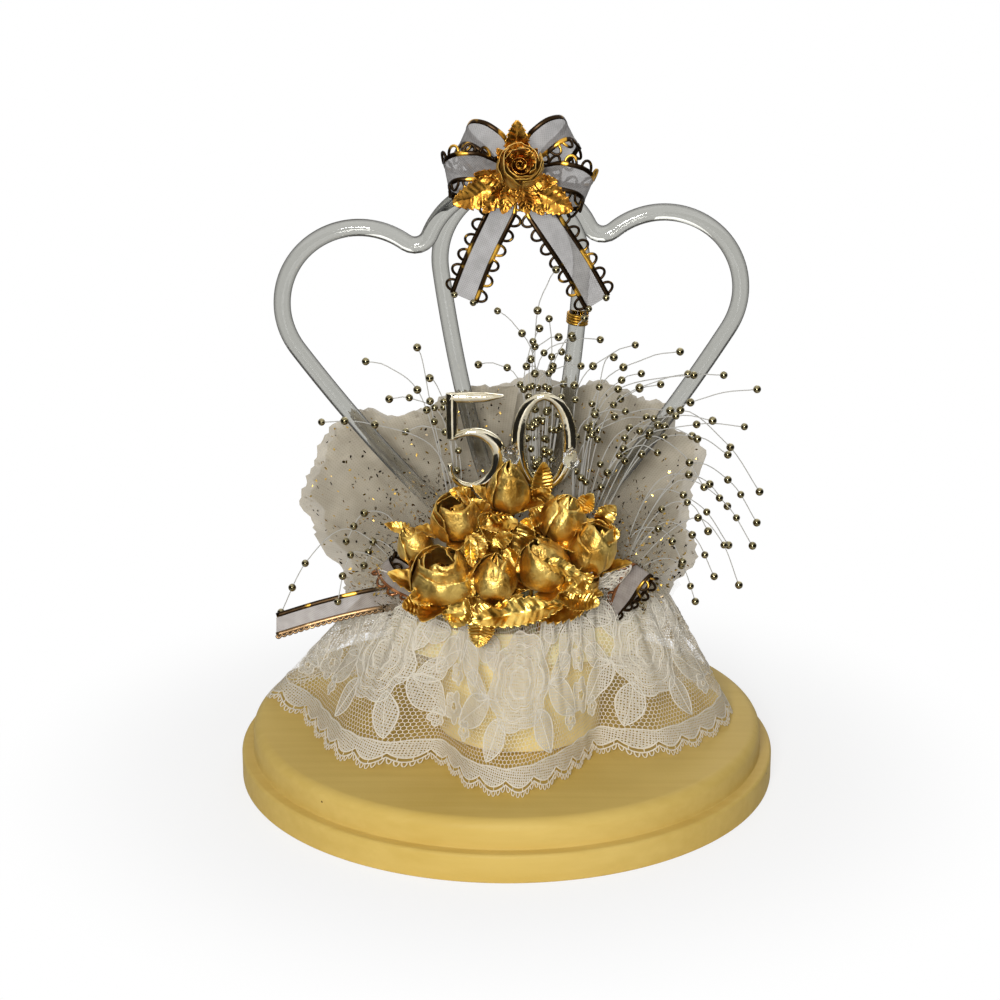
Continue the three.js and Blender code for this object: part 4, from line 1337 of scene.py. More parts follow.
@dataclass
class Bow:
    """The ribbon bow, its foil rose and leaves, tied where the hearts cross."""

    ribbon: Ribbon = field(default_factory=Ribbon)
    bead: float = 1.1
    foil: float = 0.2
    knot_rows: int = 24
    knot_columns: int = 64
    knot_pleats: int = 9

    def loop(
        self, side: str, angle: float, hand: int, reach: float, back: float = 0.0,
        picots: Sequence[Edge] = tuple(Edge),
    ) -> None:
        """Builds one loop of the bow.

        Args:
            side: Which loop, as the solid's name ends.
            angle: Direction that it goes out, in degrees from +X towards +Z.
            hand: 1 where its width turns anticlockwise from that direction, -1 otherwise.
            reach: How far out it goes from the knot's middle.
            back: How far behind the knot's middle it lies.
            picots: Which edges show their loops.
        """
        knot = middle_of("bow_knot")
        steps = self.ribbon.steps
        out = polar(angle)
        across = vec(-out.z, 0, out.x) * hand
        # Share of the reach, way across and way to the front, along the loop.
        route = [
            (0.17, 1.3, 0.9), (0.36, 2.2, 3.6), (0.6, 2.9, 5.6), (0.86, 2.2, 5.0), (1.0, -0.6, 1.6),
            (0.93, -3.8, -1.8), (0.66, -4.8, -3.0), (0.36, -3.6, -1.8), (0.17, -1.6, -0.3),
        ]
        points = [knot + out * (o * reach) + across * s + FRONT * (d - back) for o, s, d in route]
        path = spline(points, steps)
        twists = [0.3 * ease(k / steps, 0.25, 0.6) for k in range(steps)]
        sides = [(across + out * twist - FRONT * 0.2).normalized() for twist in twists]
        shell = Shell()
        self.ribbon.lay(shell, path, sides, lambda t: mix(0.4, 1, ease(min(t, 1 - t), 0, 0.24)), picots)
        finishes = [ORGANZA, GILT, GILT]
        self.ribbon.cut(shell, f"ribbon_bow_{side}", finishes, f"bow_loop_{side}", path, "bow_wire")

    def tail(self, side: str, start: Vector, end: Vector, sway: float) -> None:
        """Builds one hanging tail with a bead at each corner of its cut end.

        Args:
            side: left or right.
            start: Where it leaves the knot, from the knot's middle.
            end: The middle of its cut end, from the knot's middle.
            sway: How far its middle bows out.
        """
        knot = middle_of("bow_knot")
        steps = self.ribbon.steps
        across = (end - start).normalized().cross(FRONT).normalized()
        points = [
            start,
            start.lerp(end, 0.3) + FRONT * 1.6 + across * sway * 0.7,
            start.lerp(end, 0.65) + FRONT * 1.0 + across * sway,
            end,
        ]
        path = spline([knot + p for p in points], steps)
        twists = [0.16 * math.sin(3 * k / steps) for k in range(steps)]
        sides = [(across + FRONT * twist).normalized() for twist in twists]
        shell = Shell()
        self.ribbon.lay(shell, path, sides, lambda t: mix(0.5, 1, ease(t, 0, 0.18)))
        for hand in (-1, 1):
            corner = sides[-1] * (hand * (self.ribbon.body / 2))
            shell.ball(path[-1] + corner + FRONT * 0.9, self.bead, 3)
        finishes = [ORGANZA, GILT, GILT, BEAD_METAL]
        self.ribbon.cut(shell, f"ribbon_hang_{side}", finishes, f"bow_tail_{side}", path, "bow_wire")

    def knot(self) -> None:
        """Builds the gathered knot: a wrapped band with pleats drawn in at its middle."""
        low, high = box_mm("bow_knot")
        middle, half = (low + high) / 2, (high - low) / 2
        rows, flat = [], []
        for j in range(self.knot_rows + 1):
            lift = mix(-0.96, 0.96, j / self.knot_rows)
            row = []
            for i in range(self.knot_columns):
                turn = math.tau * i / self.knot_columns
                pleat = 1 + 0.07 * math.cos(self.knot_pleats * turn + 2 * lift) + 0.03 * math.cos(17 * turn)
                reach = (1 - abs(lift) ** 2.6) ** 0.5 * pleat
                row.append(middle + vec(
                    half.x * reach * math.cos(turn), half.y * reach * math.sin(turn), half.z * lift))
                flat.append((turn * half.x, lift * half.z))
            rows.append(row)
        shell = Shell()
        shell.grid(rows, ring=True, capped=True, flat=flat)
        made = shell.piece("ribbon_knot", [ORGANZA], "sheer_ribbon", ["bow_knot"])

    def rose(self) -> None:
        """Builds the small foil rose in front of the knot."""
        low, high = box_mm("top_rose")
        knot = middle_of("bow_knot")
        foot = vec(knot.x, mix(high.y, low.y, 0.5), knot.z)
        middle = foot + FRONT * 1.2 + vec(0.8, 0, 4.6)
        flower = Rose("top_rose", middle, vec(0.12, -0.82, 0.56), 13.0, 10.0, Opening.OPEN)
        shell = Shell()
        flower.petals(shell)
        # The heart takes the darker foil: painted shade in the rose's recess.
        flower.core(shell, 1)
        shell.tube([vec(knot.x, high.y, knot.z), foot, middle], 0.8, 8, 2)
        shell.piece("bow_rose", [OLIVE_FOIL, HEART_SHADE_FOIL, GOLD_WIRE], "gold_foil", ["top_rose"], self.foil)

    def leaves(self) -> None:
        """Builds the three serrated leaves round the rose's wire, each with smaller sprigs beside it."""
        knot = middle_of("bow_knot")
        low, high = box_mm("top_leaf_up")
        # Name, direction in degrees, reach, width and the sprigs' turns from it.
        places = (
            ("up", 90, 17.5, 8.5, (-34, 34)),
            ("left", 199, 19.5, 10.5, (-32, 26, 52)),
            ("right", -28, 18.0, 10.5, (32, -26, -48)),
        )
        for name, angle, reach, width, sprigs in places:
            out = polar(angle)
            base = vec(knot.x, (low.y + high.y) / 2, knot.z) + out * 1.2
            tip = base + out * reach + FRONT * 0.5
            shell = Shell()
            Leaf(base, tip, FRONT, width, curl=2.0, teeth=11, vein=0.35, crumple=0.7).blade(shell)
            for sprig in sprigs:
                tip = base + polar(angle + sprig) * (reach * mix(0.82, 0.52, abs(sprig) / 52)) + FRONT * 1.2
                foot = base + FRONT * 0.4
                small = Leaf(foot, tip, FRONT, width * 0.55, curl=1.6, teeth=8, vein=0.35, crumple=0.9)
                small.blade(shell)
            shell.piece(f"bow_leaf_{name}", [AMBER_FOIL], "gold_foil", [f"top_leaf_{name}"], self.foil)

    def build(self) -> None:
        """Builds the bow."""
        self.knot()
        self.loop("left", 177, -1, 21.6)
        self.loop("right", -10, 1, 22.6)
        self.loop("upper_left", 140, -1, 20.0, 3.4, [Edge.LOWER])
        self.loop("upper_right", 43, 1, 21.0, 3.4, [Edge.LOWER])
        self.tail("left", vec(-1.6, 0, -5.5), vec(-16.4, -1.5, -38.5), 0.8)
        self.tail("right", vec(3.2, 0, -5.5), vec(25.2, -1.5, -40), -0.8)
        self.leaves()
        self.rose()
        keep("bow_wire", GOLD_WIRE)


@dataclass
class Bouquet:
    """Foil roses and leaves on wired stems in the foam. Places are from the middle of the foam's top."""

    wire: float = 0.5
    wire_steps: int = 18
    foil: float = 0.2

    def roses(self) -> list[Rose]:
        """Places the roses.

        Returns:
            The roses where they stand.
        """
        # Name, middle, axis, width, length and opening.
        places = [
            ("top", (-3.6, -28, 48.2), (0.03, -0.3, 1), 13.4, 18.0, Opening.BUD),
            ("upper_left", (-20.4, -29, 39.2), (-0.2, -0.36, 0.9), 15.0, 16.5, Opening.HALF),
            ("upper_right", (13.4, -29, 39.0), (0.25, -0.35, 0.85), 15.0, 16.5, Opening.BUD),
            ("left", (-24.6, -38.5, 23.6), (-0.16, -0.4, 0.88), 20.0, 19.0, Opening.HALF),
            ("lower_middle", (-8.0, -41, 23.6), (0.1, -0.3, 0.94), 15.2, 16.5, Opening.BUD),
            ("middle_right", (6.8, -39.5, 27.4), (-0.25, -0.35, 0.85), 17.0, 18.0, Opening.BUD),
            ("right", (22.8, -34, 31.0), (0.24, -0.25, 0.92), 14.6, 19.5, Opening.HALF),
            ("small", (20.7, -36, 19.8), (0.4, -0.6, 0.62), 7.8, 9.0, Opening.HALF),
        ]
        return [
            Rose(name, BOUQUET + Vector(at), Vector(axis), width, length, opening)
            for name, at, axis, width, length, opening in places
        ]

    def leaves(self) -> None:
        """Builds the foil leaves with their wires."""
        # Name, base, tip, facing, width and where the wire goes into the foam.
        places = [
            ("bud", (6, -23.5, 41), (7, -24, 56), (0.3, -1, 0.2), 7.5, (3, -22.5)),
            ("middle", (-6, -31, 33), (-14, -35, 41), (0.2, -0.8, 0.6), 10.5, (-8.5, -22.5)),
            ("long", (13, -44, 15.5), (-15, -48.5, 11.5), (0, -0.9, 0.5), 10.0, (1, -26)),
            ("drop", (-11, -42, 13), (-13, -46.5, 2.2), (0, -1, 0.3), 9.0, (-14, -25.5)),
            ("left", (-24, -35, 12), (-37, -38, 12), (0, -0.7, 0.7), 10.5, (-22, -19)),
            ("right", (13, -36, 15), (25, -41, 14), (0, -0.8, 0.6), 9.0, (11.5, -26)),
        ]
        for name, base, tip, face, width, entry in places:
            start, end = BOUQUET + Vector(base), BOUQUET + Vector(tip)
            down = BOUQUET + vec(*entry, 0)
            shell = Shell()
            Leaf(start, end, Vector(face), width, curl=1.5, teeth=12, vein=0.6, crumple=0.6).blade(shell)
            bend = start.lerp(down + UP * 6, 0.5)
            path = [start.lerp(end, 0.2), start, bend, down + UP * 3, down - UP * 7.5]
            shell.tube(spline(path, self.wire_steps), self.wire, 6, 1)
            shell.piece(f"foil_leaf_{name}", [LEAF_FOIL, GOLD_WIRE], "gold_foil", [f"leaf_{name}"], self.foil)

    def filler(self) -> None:
        """Builds the crumpled foil leaves and the small bud that pack the gaps between the roses."""
        # Base, tip and width: small ones between the roses, then broad ones deep behind them.
        places = [
            ((-0.6, -33, 38.6), (-12.4, -35, 37.6), 7.5), ((-16.0, -36, 35.5), (-14.6, -41, 26.9), 5.0),
            ((-8.7, -37, 32.6), (-1.8, -38, 36.6), 5.5), ((6, -47, 31.0), (19, -46, 26.0), 5.5),
            ((-13, -24, 42), (-22.4, -26, 46.4), 6.5), ((-9, -25, 38), (-16.4, -27, 43.6), 7.0),
            ((2, -24, 42), (9.7, -26, 47.9), 6.5), ((2.8, -29, 36), (8.4, -31, 43), 7.0),
            ((19, -27, 40), (22.8, -29, 47), 6.5), ((24, -30, 37.5), (29.5, -32, 43.6), 7.0),
            ((25, -31, 33.6), (31.6, -33, 34.8), 7.0), ((-33, -27, 33), (-42, -29, 37), 4.5),
            ((-25, -41.5, 19.5), (-33.8, -43.5, 16.6), 9.0), ((-17, -45, 18), (-20.8, -46.5, 8.6), 9.0),
            ((9, -42, 20.4), (17, -44, 23.4), 6.0), ((2.5, -30, 31), (2.2, -32, 39.6), 7.5),
            ((-15.6, -33, 35), (-12, -35, 27.6), 7.5), ((-15, -42, 25.4), (-15.8, -45, 17.6), 5.0),
            ((18, -33, 22.6), (25.4, -35, 28.4), 8.0), ((11.6, -31.5, 31.8), (17, -33.5, 28.4), 8.5),
            ((-4.4, -37, 31.4), (0.4, -39, 24.6), 6.5), ((15, -40, 18.6), (22.4, -42, 24.4), 7.0),
            ((-24, -43, 15.6), (-18, -45, 9.8), 8.0), ((-7.6, -45, 14), (-17, -46.5, 11), 8.0),
            ((-4, -23, 20), (-14, -25, 34), 15.0), ((-4, -23, 18), (2, -25, 36), 15.0),
            ((6, -23, 18), (16, -25, 34), 15.0), ((10, -24, 14), (28, -27, 24), 13.0),
            ((-10, -24, 14), (-31, -27, 26), 14.0), ((-4, -31, 8), (-28, -37, 13), 13.0),
            ((4, -31, 8), (24, -37, 14), 13.0), ((-2, -33, 6), (-6, -37, 22), 14.0),
            ((6, -32, 6), (12, -36, 22), 14.0),
        ]
        shell = Shell()
        for k, (base, tip, width) in enumerate(places):
            start, end = BOUQUET + Vector(base), BOUQUET + Vector(tip)
            face = vec(0.35 * math.sin(2.4 * k), -0.85, 0.45 + 0.3 * math.cos(1.7 * k))
            curl = 1.4 - 2.2 * (k % 2)
            Leaf(start, end, face, width, curl, teeth=8, vein=0.3, crumple=1.1).blade(shell)
        bud = Rose("far_left", BOUQUET + vec(-33.4, -29, 30), vec(-0.4, -0.3, 0.85), 11.0, 13.0, Opening.BUD)
        bud.petals(shell, 1)
        shell.piece("foil_filler_leaves", [LEAF_FOIL, ROSE_FOIL], "gold_foil", thick=self.foil)

    def build(self) -> None:
        """Builds the roses and leaves and finishes the stems."""
        for rose in self.roses():
            rose.build(self.foil)
            keep(f"stem_{rose.name}", GOLD_WIRE)
        self.leaves()
        self.filler()


@dataclass
class Numerals:
    """Metallised numerals 50 of rounded strokes on a clear pick, with two lumps of glue."""

    section: tuple[Pair, ...] = (
        (-0.8, -0.75), (0.8, -0.75), (1, 0), (0.86, 0.5), (0.5, 0.86), (0, 1), (-0.5, 0.86), (-0.86, 0.5),
        (-1, 0),
    )
    stroke_steps: int = 48
    zero_steps: int = 96
    zero_thin: float = 2.6
    zero_thick: float = 4.5
    glue_rows: int = 20
    glue_columns: int = 28
    glue_lumps: float = 0.35

    def stroke(
        self, shell: Shell, node: str, points: Sequence[Pair], widths: Sequence[float], loop: bool = False,
    ) -> None:
        """Adds one stroke of varying width.

        Args:
            shell: What takes the faces.
            node: The numeral's solid, whose depth and lower left corner it takes.
            points: The stroke's middle line, across and up from that corner.
            widths: Its width at each of those points.
            loop: Whether it closes on itself.
        """
        low, high = box_mm(node)
        corner = vec(low.x, (low.y + high.y) / 2, low.z)
        path = [corner + vec(x, 0, z) for x, z in points]
        if not loop:
            path = spline(path, self.stroke_steps)
            stations = np.linspace(0, 1, self.stroke_steps)
            widths = np.interp(stations, np.linspace(0, 1, len(widths)), widths)
        across = [FRONT.cross(way).normalized() for way in headings(path, loop)]
        depth = high.y - low.y
        shell.sweep(path, across, self.section, [(w / 2, depth / 2) for w in widths], loop=loop)

    def five(self) -> None:
        """Builds the 5: a bar, a stem and a bowl."""
        low, high = box_mm("numeral_five")
        wide, tall = high.x - low.x, high.z - low.z
        bar = [(1.0, tall - 1.7), (6, tall - 1.7), (12, tall - 1.6), (wide - 0.4, tall - 1.1)]
        stem = [(1.75, tall - 0.3), (1.75, tall - 5), (1.75, tall - 10), (1.85, tall - 15.2)]
        bowl = [
            (0.9, 16.9), (3.4, 18.0), (7.2, 19.0), (11.6, 18.2), (15.4, 15.0), (16.7, 10.4), (15.2, 5.6),
            (11.8, 2.4), (7.8, 1.2), (3.9, 2.3), (1.5, 5.2), (0.9, 8.8),
        ]
        shell = Shell()
        for points, widths in (
            (bar, (3.5, 3.6, 3.1, 0.8)),
            (stem, (3.8, 3.8, 3.8, 3.6)),
            (bowl, (1.4, 2.2, 3.0, 4.0, 4.7, 4.8, 4.2, 3.4, 2.8, 2.3, 2.0, 1.7)),
        ):
            self.stroke(shell, "numeral_five", points, widths)
        shell.piece("numeral_5", [CHAMPAGNE_METAL], "metallised_plastic", ["numeral_five"])

    def zero(self) -> None:
        """Builds the 0: an oval that is thick at its sides."""
        low, high = box_mm("numeral_zero")
        wide, tall = high.x - low.x, high.z - low.z
        points, widths = [], []
        for cos, sin in circle(self.zero_steps):
            thick = mix(self.zero_thin, self.zero_thick, abs(cos) ** 1.4)
            points.append((wide / 2 + (wide - thick) / 2 * cos, tall / 2 + (tall - thick) / 2 * sin))
            widths.append(thick)
        shell = Shell()
        self.stroke(shell, "numeral_zero", points, widths, loop=True)
        shell.piece("numeral_0", [CHAMPAGNE_METAL], "metallised_plastic", ["numeral_zero"])

    def glue(self) -> None:
        """Builds the two crumpled lumps of glue."""
        for side in ("left", "right"):
            low, high = box_mm(f"glue_dab_{side}")
            middle, half = (low + high) / 2, (high - low) / 2
            rows = []
            for j in range(self.glue_rows - 1, 0, -1):
                tilt = math.pi * j / self.glue_rows
                row = []
                for a, b in circle(self.glue_columns):
                    way = vec(math.sin(tilt) * a, math.sin(tilt) * b, math.cos(tilt))
                    swell = 1 + self.glue_lumps * noise.noise(way * 2.6 + middle)
                    row.append(middle + vec(half.x * way.x, half.y * way.y, half.z * way.z) * swell)
                rows.append(row)
            shell = Shell()
            shell.grid(rows, ring=True, capped=True)
            shell.piece(f"glue_lump_{side}", [GLUE], "clear_acrylic", [f"glue_dab_{side}"])

    def build(self) -> None:
        """Builds the numerals."""
        self.five()
        self.zero()
        self.glue()
        keep("numeral_pick", CLEAR_PICK)


@dataclass
class Tulle:
    """Tufts of glitter tulle, gathered on a wired neck and fanned out in soft pleats.

    A tuft's rim is its cut edge, as directions in degrees and reaches. Its layers each have a share of
    that reach, how far they stand behind the neck and how far they lean back.
    """

    neck: float = 4.0
    rise: float = 1.5
    flakes: int = 620
    flakes_behind: float = 0.3
    flake_lift: float = 0.16
    columns: int = 90
    rows: int = 26
    pleats: int = 9
    front_layers: tuple[Triple, ...] = ((1.0, 0.0, 0.0), (0.8, -3.0, -9.0))
    back_layers: tuple[Triple, ...] = ((1.0, 0.0, 6.0), (0.95, 3.0, 15.0), (0.8, 5.0, 26.0))
    top_layers: tuple[Triple, ...] = ((1.0, 0.0, 13.0), (0.85, 2.0, 24.0))

    def at(
        self, neck: Pair, rim: Sequence[Pair], shrink: float, lean: float, seed: int, u: float, v: float,
    ) -> Vector:
        """Finds a point of one layer of a tuft.

        Args:
            neck: Where its neck stands, across and back.
            rim: The tuft's rim.
            shrink: Share of the rim's reach that this layer has.
            lean: How far it leans back at its rim.
            seed: Picks its creases.
            u: Share of the way along the rim.
            v: Share of the way from the neck to the rim.

        Returns:
            The point in the part's frame.
        """
        angles, reaches = zip(*rim)
        angle = mix(angles[0], angles[-1], u)
        turn = math.radians(angle)
        ragged = 1 + 0.03 * noise.noise(vec(angle * 0.35, seed, 0))
        ragged += 0.025 * noise.noise(vec(angle, seed, 4))
        reach = float(np.interp(angle, angles, reaches)) * shrink * ragged
        out = mix(self.neck, reach, v)
        x, z = out * math.cos(turn), out * math.sin(turn)
        pleat = math.sin(turn * self.pleats + 1.4 * math.sin(angle * 0.09 + seed) + 0.5 * v)
        ridge = 1 - 2 * abs(noise.noise(vec(x * 0.07, z * 0.07, seed * 3.1)))
        crease = noise.noise(vec(x * 0.16, z * 0.16, seed * 7.7))
        fine = noise.noise(vec(x * 0.4, z * 0.4, seed * 2.3))
        depth = v ** 0.8 * (1.2 * pleat + 1.2 * ridge + 0.9 * crease + 0.5 * fine)
        return BOUQUET + vec(neck[0] + x, neck[1] + lean * v + depth, self.rise + z)

    def tuft(
        self, name: str, neck: Pair, rim: Sequence[Pair], layers: Sequence[Triple], net: Finish,
    ) -> None:
        """Builds one tuft.

        Args:
            name: The solid that it stands for.
            neck: Where its neck stands, across and back.
            rim: Its rim.
            layers: Its layers.
            net: The cloth that it is cut from.
        """
        shell = Shell()
        seed = letter_sum(name) % 17
        dice = random.Random(name)
        top = max(r for _, r in rim)
        spread = rim[-1][0] - rim[0][0]
        for order, (shrink, back, lean) in enumerate(layers):
            surface = partial(self.at, (neck[0], neck[1] + back), rim, shrink, lean, seed + order)
            rows, flat = [], []
            for j in range(self.rows + 1):
                v = j / self.rows
                rows.append([surface(i / self.columns, v) for i in range(self.columns + 1)])
                flat.extend((spread * i / self.columns, v * top) for i in range(self.columns + 1))
            shell.grid(rows, flat=flat)
            for _ in range(self.flakes):
                self.flake(shell, surface, dice)
        post = BOUQUET + vec(*neck, 0)
        shell.tube([post - UP * 7.5, post, post + UP * 6], [1.0, 1.0, 0.7], 8, 1)
        made = shell.piece(f"net_{name}", [net, GOLD_GLITTER, DARK_GLITTER], "tulle_net", [name])
        # The cut: a flat fan for each layer, as wide as its chord, one after the other.
        fan = sum(
            reach * after * math.sin(math.radians(turned - angle)) / 2
            for (angle, reach), (turned, after) in zip(rim, rim[1:])
        )
        area = fan * sum(shrink ** 2 for shrink, _, _ in layers)

    def flake(self, shell: Shell, surface: Callable[[float, float], Vector], dice: random.Random) -> None:
        """Adds one flake of glitter on a layer.

        Args:
            shell: What takes the faces.
            surface: The layer.
            dice: Where the flake's place comes from.
        """
        u, v = dice.uniform(0.02, 0.98), dice.uniform(0.15, 0.97) ** 0.7
        point = surface(u, v)
        along = (surface(u + 0.01, v) - point).normalized()
        down = (surface(u, v + 0.02) - point).normalized()
        normal = along.cross(down).normalized()
        if (normal.dot(FRONT) < 0) != (dice.random() < self.flakes_behind):
            normal = -normal
        size, slim = dice.uniform(0.25, 0.68), dice.uniform(0.3, 0.7)
        tilt = dice.uniform(0, math.tau)
        corners = []
        for a, b in circle(6):
            long, short = size * a, size * slim * b
            across = long * math.cos(tilt) - short * math.sin(tilt)
            below = long * math.sin(tilt) + short * math.cos(tilt)
            corners.append(point + normal * self.flake_lift + along * across + down * below)
        shell.add(corners, [(0, 1, 2, 3, 4, 5)], dice.choice((1, 1, 2)))

    def build(self) -> None:
        """Builds the tufts."""
        left_front = (
            (80, 50), (96, 53), (108, 49), (121, 54), (133, 49), (146, 52), (158, 44), (168, 46), (182, 38),
        )
        right_front = (
            (-2, 34), (10, 42), (22, 40), (35, 49), (47, 46), (60, 53), (74, 49), (86, 54), (100, 50),
        )
        left_back = (
            (80, 68), (99, 66), (108, 62), (119, 64), (124, 72), (132, 73), (139, 71), (147, 68), (156, 67),
            (159, 60), (165, 58), (169, 54), (174, 47), (187, 46),
        )
        right_back = (
            (-7, 39), (0, 42), (5, 48), (16, 50), (22, 48), (29, 52), (35, 56), (40, 66), (44, 69), (52, 66),
            (56, 72), (63, 70), (72, 70), (77, 71), (83, 67), (98, 66),
        )
        top_back = (
            (36, 50), (52, 60), (70, 67), (74, 65), (80, 66), (85, 69), (90, 67), (96, 64), (103, 65),
            (111, 66), (118, 64), (130, 59), (146, 50),
        )
        self.tuft("tulle_left_front", (-12, -9), left_front, self.front_layers, THIN_TULLE)
        self.tuft("tulle_right_front", (11, -9), right_front, self.front_layers, THIN_TULLE)
        self.tuft("tulle_left_back", (-12, 9.5), left_back, self.back_layers, TULLE)
        self.tuft("tulle_right_back", (11, 9.5), right_back, self.back_layers, TULLE)
        self.tuft("tulle_top_back", (1, 16), top_back, self.top_layers, TULLE)


@dataclass
class Sprays:
    """Sprays of metallised beads on clear filament, each from one wired stem."""

    bead: float = 1.28
    strand: float = 0.17
    strand_steps: int = 40
    y: float = -14.0
    stem: float = 0.8

    def spray(self, name: str, x: float, beads: int, tips: Sequence[Pair]) -> None:
        """Builds one spray.

        Args:
            name: The solid that it stands for.
            x: Where its stem stands, across from the foam's middle.
            beads: Beads on each filament.
            tips: Where each filament ends, across and up.
        """
        dice = random.Random(name)
        last = self.strand_steps - 1
        root = BOUQUET + vec(x, self.y, 3)
        shell = Shell()
        shell.tube([root - UP * 10.5, root - UP * 3, root + UP * 1.2], self.stem, 8, 2)
        for tip_x, tip_z in tips:
            side = dice.uniform(-2.4, 2.0) if abs(tip_x) < 28 else dice.uniform(-9.0, 4.0)
            tip = BOUQUET + vec(tip_x, self.y + side, tip_z)
            high = ease(tip_z, 40, 70)
            droop = tip_z * 0.75 + 0.62 * abs(tip_x - x)
            rise = mix(droop, 0.9 * tip_z, high) * dice.uniform(0.85, 1.0)
            bow = root + vec((tip_x - x) * mix(0.5, 0.3, high) + dice.uniform(-6, 6), side * 0.4, rise)
            early = root.lerp(bow, 0.5) + vec((x - tip_x) * 0.07, 0, 3)
            late = bow.lerp(tip, 0.6) + UP * mix(6, 3, high)
            path = spline([root, early, bow, late, tip], self.strand_steps)
            shell.tube(path, self.strand, 5, 1)
            at = 1.0
            for _ in range(beads):
                spot = min(int(at * last), last)
                shell.ball(path[spot], self.bead * dice.uniform(0.9, 1.06), 0)
                at -= dice.uniform(0.07, 0.2)
        shell.piece(f"beads_{name}", [BEAD_METAL, NYLON, GOLD_WIRE], "metallised_beads", [name])

    def build(self) -> None:
        """Builds the five sprays."""
        self.spray("spray_left_low", -33, 3, [(-77, 1), (-58, 8), (-55, 28), (-50, 17)])
        self.spray("spray_left_high", -19, 3, [
            (-48, 86), (-62, 67), (-41, 73), (-28, 82), (-36, 62), (-24, 70), (-32, 90),
        ])
        self.spray("spray_middle", 6, 5, [
            (-7, 101), (9, 99), (11, 115), (25, 92), (4, 92), (15, 86), (20, 99), (-13, 84), (12, 93),
            (2, 84), (17, 78), (6, 96), (13, 88), (9, 82), (16, 94), (3, 77), (10, 72), (19, 84),
            (6, 66), (13, 64),
        ])
        self.spray("spray_right_high", 18, 4, [
            (74, 77), (66, 54), (54, 82), (38, 81), (76, 43), (47, 70), (60, 68), (33, 70), (43, 58),
            (58, 46), (29, 88), (36, 90), (50, 88), (44, 78), (64, 80), (56, 60), (40, 66), (70, 66),
        ])
        self.spray("spray_right_low", 31, 3, [
            (70, 13), (67, 24), (57, 4), (76, 31), (62, 16), (52, 20), (74, 26), (60, 30), (66, 38),
        ])


@dataclass
class SideRibbons:
    """Ribbon tucked in at both sides of the bouquet: two loops, and a tail with a finer picot edge."""

    ribbon: Ribbon = field(default_factory=Ribbon)
    fine: Ribbon = field(default_factory=lambda: Ribbon(
        border=2.0, picot=1.3, pitch=1.9, loop_share=0.44, cord=0.42,
    ))

    def loop(self, side: str, start: Vector, out: Vector) -> None:
        """Builds one standing loop.

        Args:
            side: left or right.
            start: Where it goes into the foam, from the foam's middle.
            out: The direction that it goes out.
        """
        way = out.normalized()
        across = way.cross(FRONT).normalized()
        # Way out, across and to the front, along the loop.
        route = [
            (0, 0, 0), (8, 1.5, 1.0), (16, 1.6, 3.2), (20, 0, 5.0), (15, -1.4, 6.6), (7, -0.8, 5.2),
            (0, 0, 3.2),
        ]
        points = [BOUQUET + start + way * a + across * b + FRONT * c for a, b, c in route]
        path = spline(points, self.ribbon.steps)
        sides = [(across + FRONT * 0.25).normalized()] * self.ribbon.steps
        shell = Shell()
        self.ribbon.lay(shell, path, sides, lambda t: mix(0.4, 0.8, ease(min(t, 1 - t), 0, 0.3)))
        finishes = [PALE_ORGANZA, GILT, COPPER_CORD]
        self.ribbon.cut(shell, f"tucked_loop_{side}", finishes, f"ribbon_loop_{side}", path, "foam_block")

    def tail(self) -> None:
        """Builds the tail that lies out over the lace on the left."""
        points = [
            vec(-22, -12, 4), vec(-34, -14.5, 7.5), vec(-47, -18, 7.4), vec(-63, -19.5, 4),
            vec(-78, -20, -0.6),
        ]
        path = spline([BOUQUET + p for p in points], self.fine.steps)
        sides = [vec(0, 0.35, 0.94).normalized()] * self.fine.steps
        shell = Shell()
        self.fine.lay(shell, path, sides, lambda t: mix(0.45, 0.74, ease(t, 0, 0.25)), [Edge.LOWER])
        finishes = [PALE_ORGANZA, GILT, TAN_CORD]
        self.fine.cut(shell, "tucked_tail_left", finishes, "ribbon_tail_left", path, "foam_block")

    def build(self) -> None:
        """Builds both loops and the tail."""
        self.loop("left", vec(-29, -16, 7), vec(-0.72, 0, 0.7))
        self.loop("right", vec(29, -20, 3), vec(0.5, 0, 0.87))
        self.tail()


class Motif(Enum):
    """The outlines that the lace's cloth stitch is worked in."""

    LEAF = "leaf"
    FLOWER = "flower"
    ROSE = "rose"


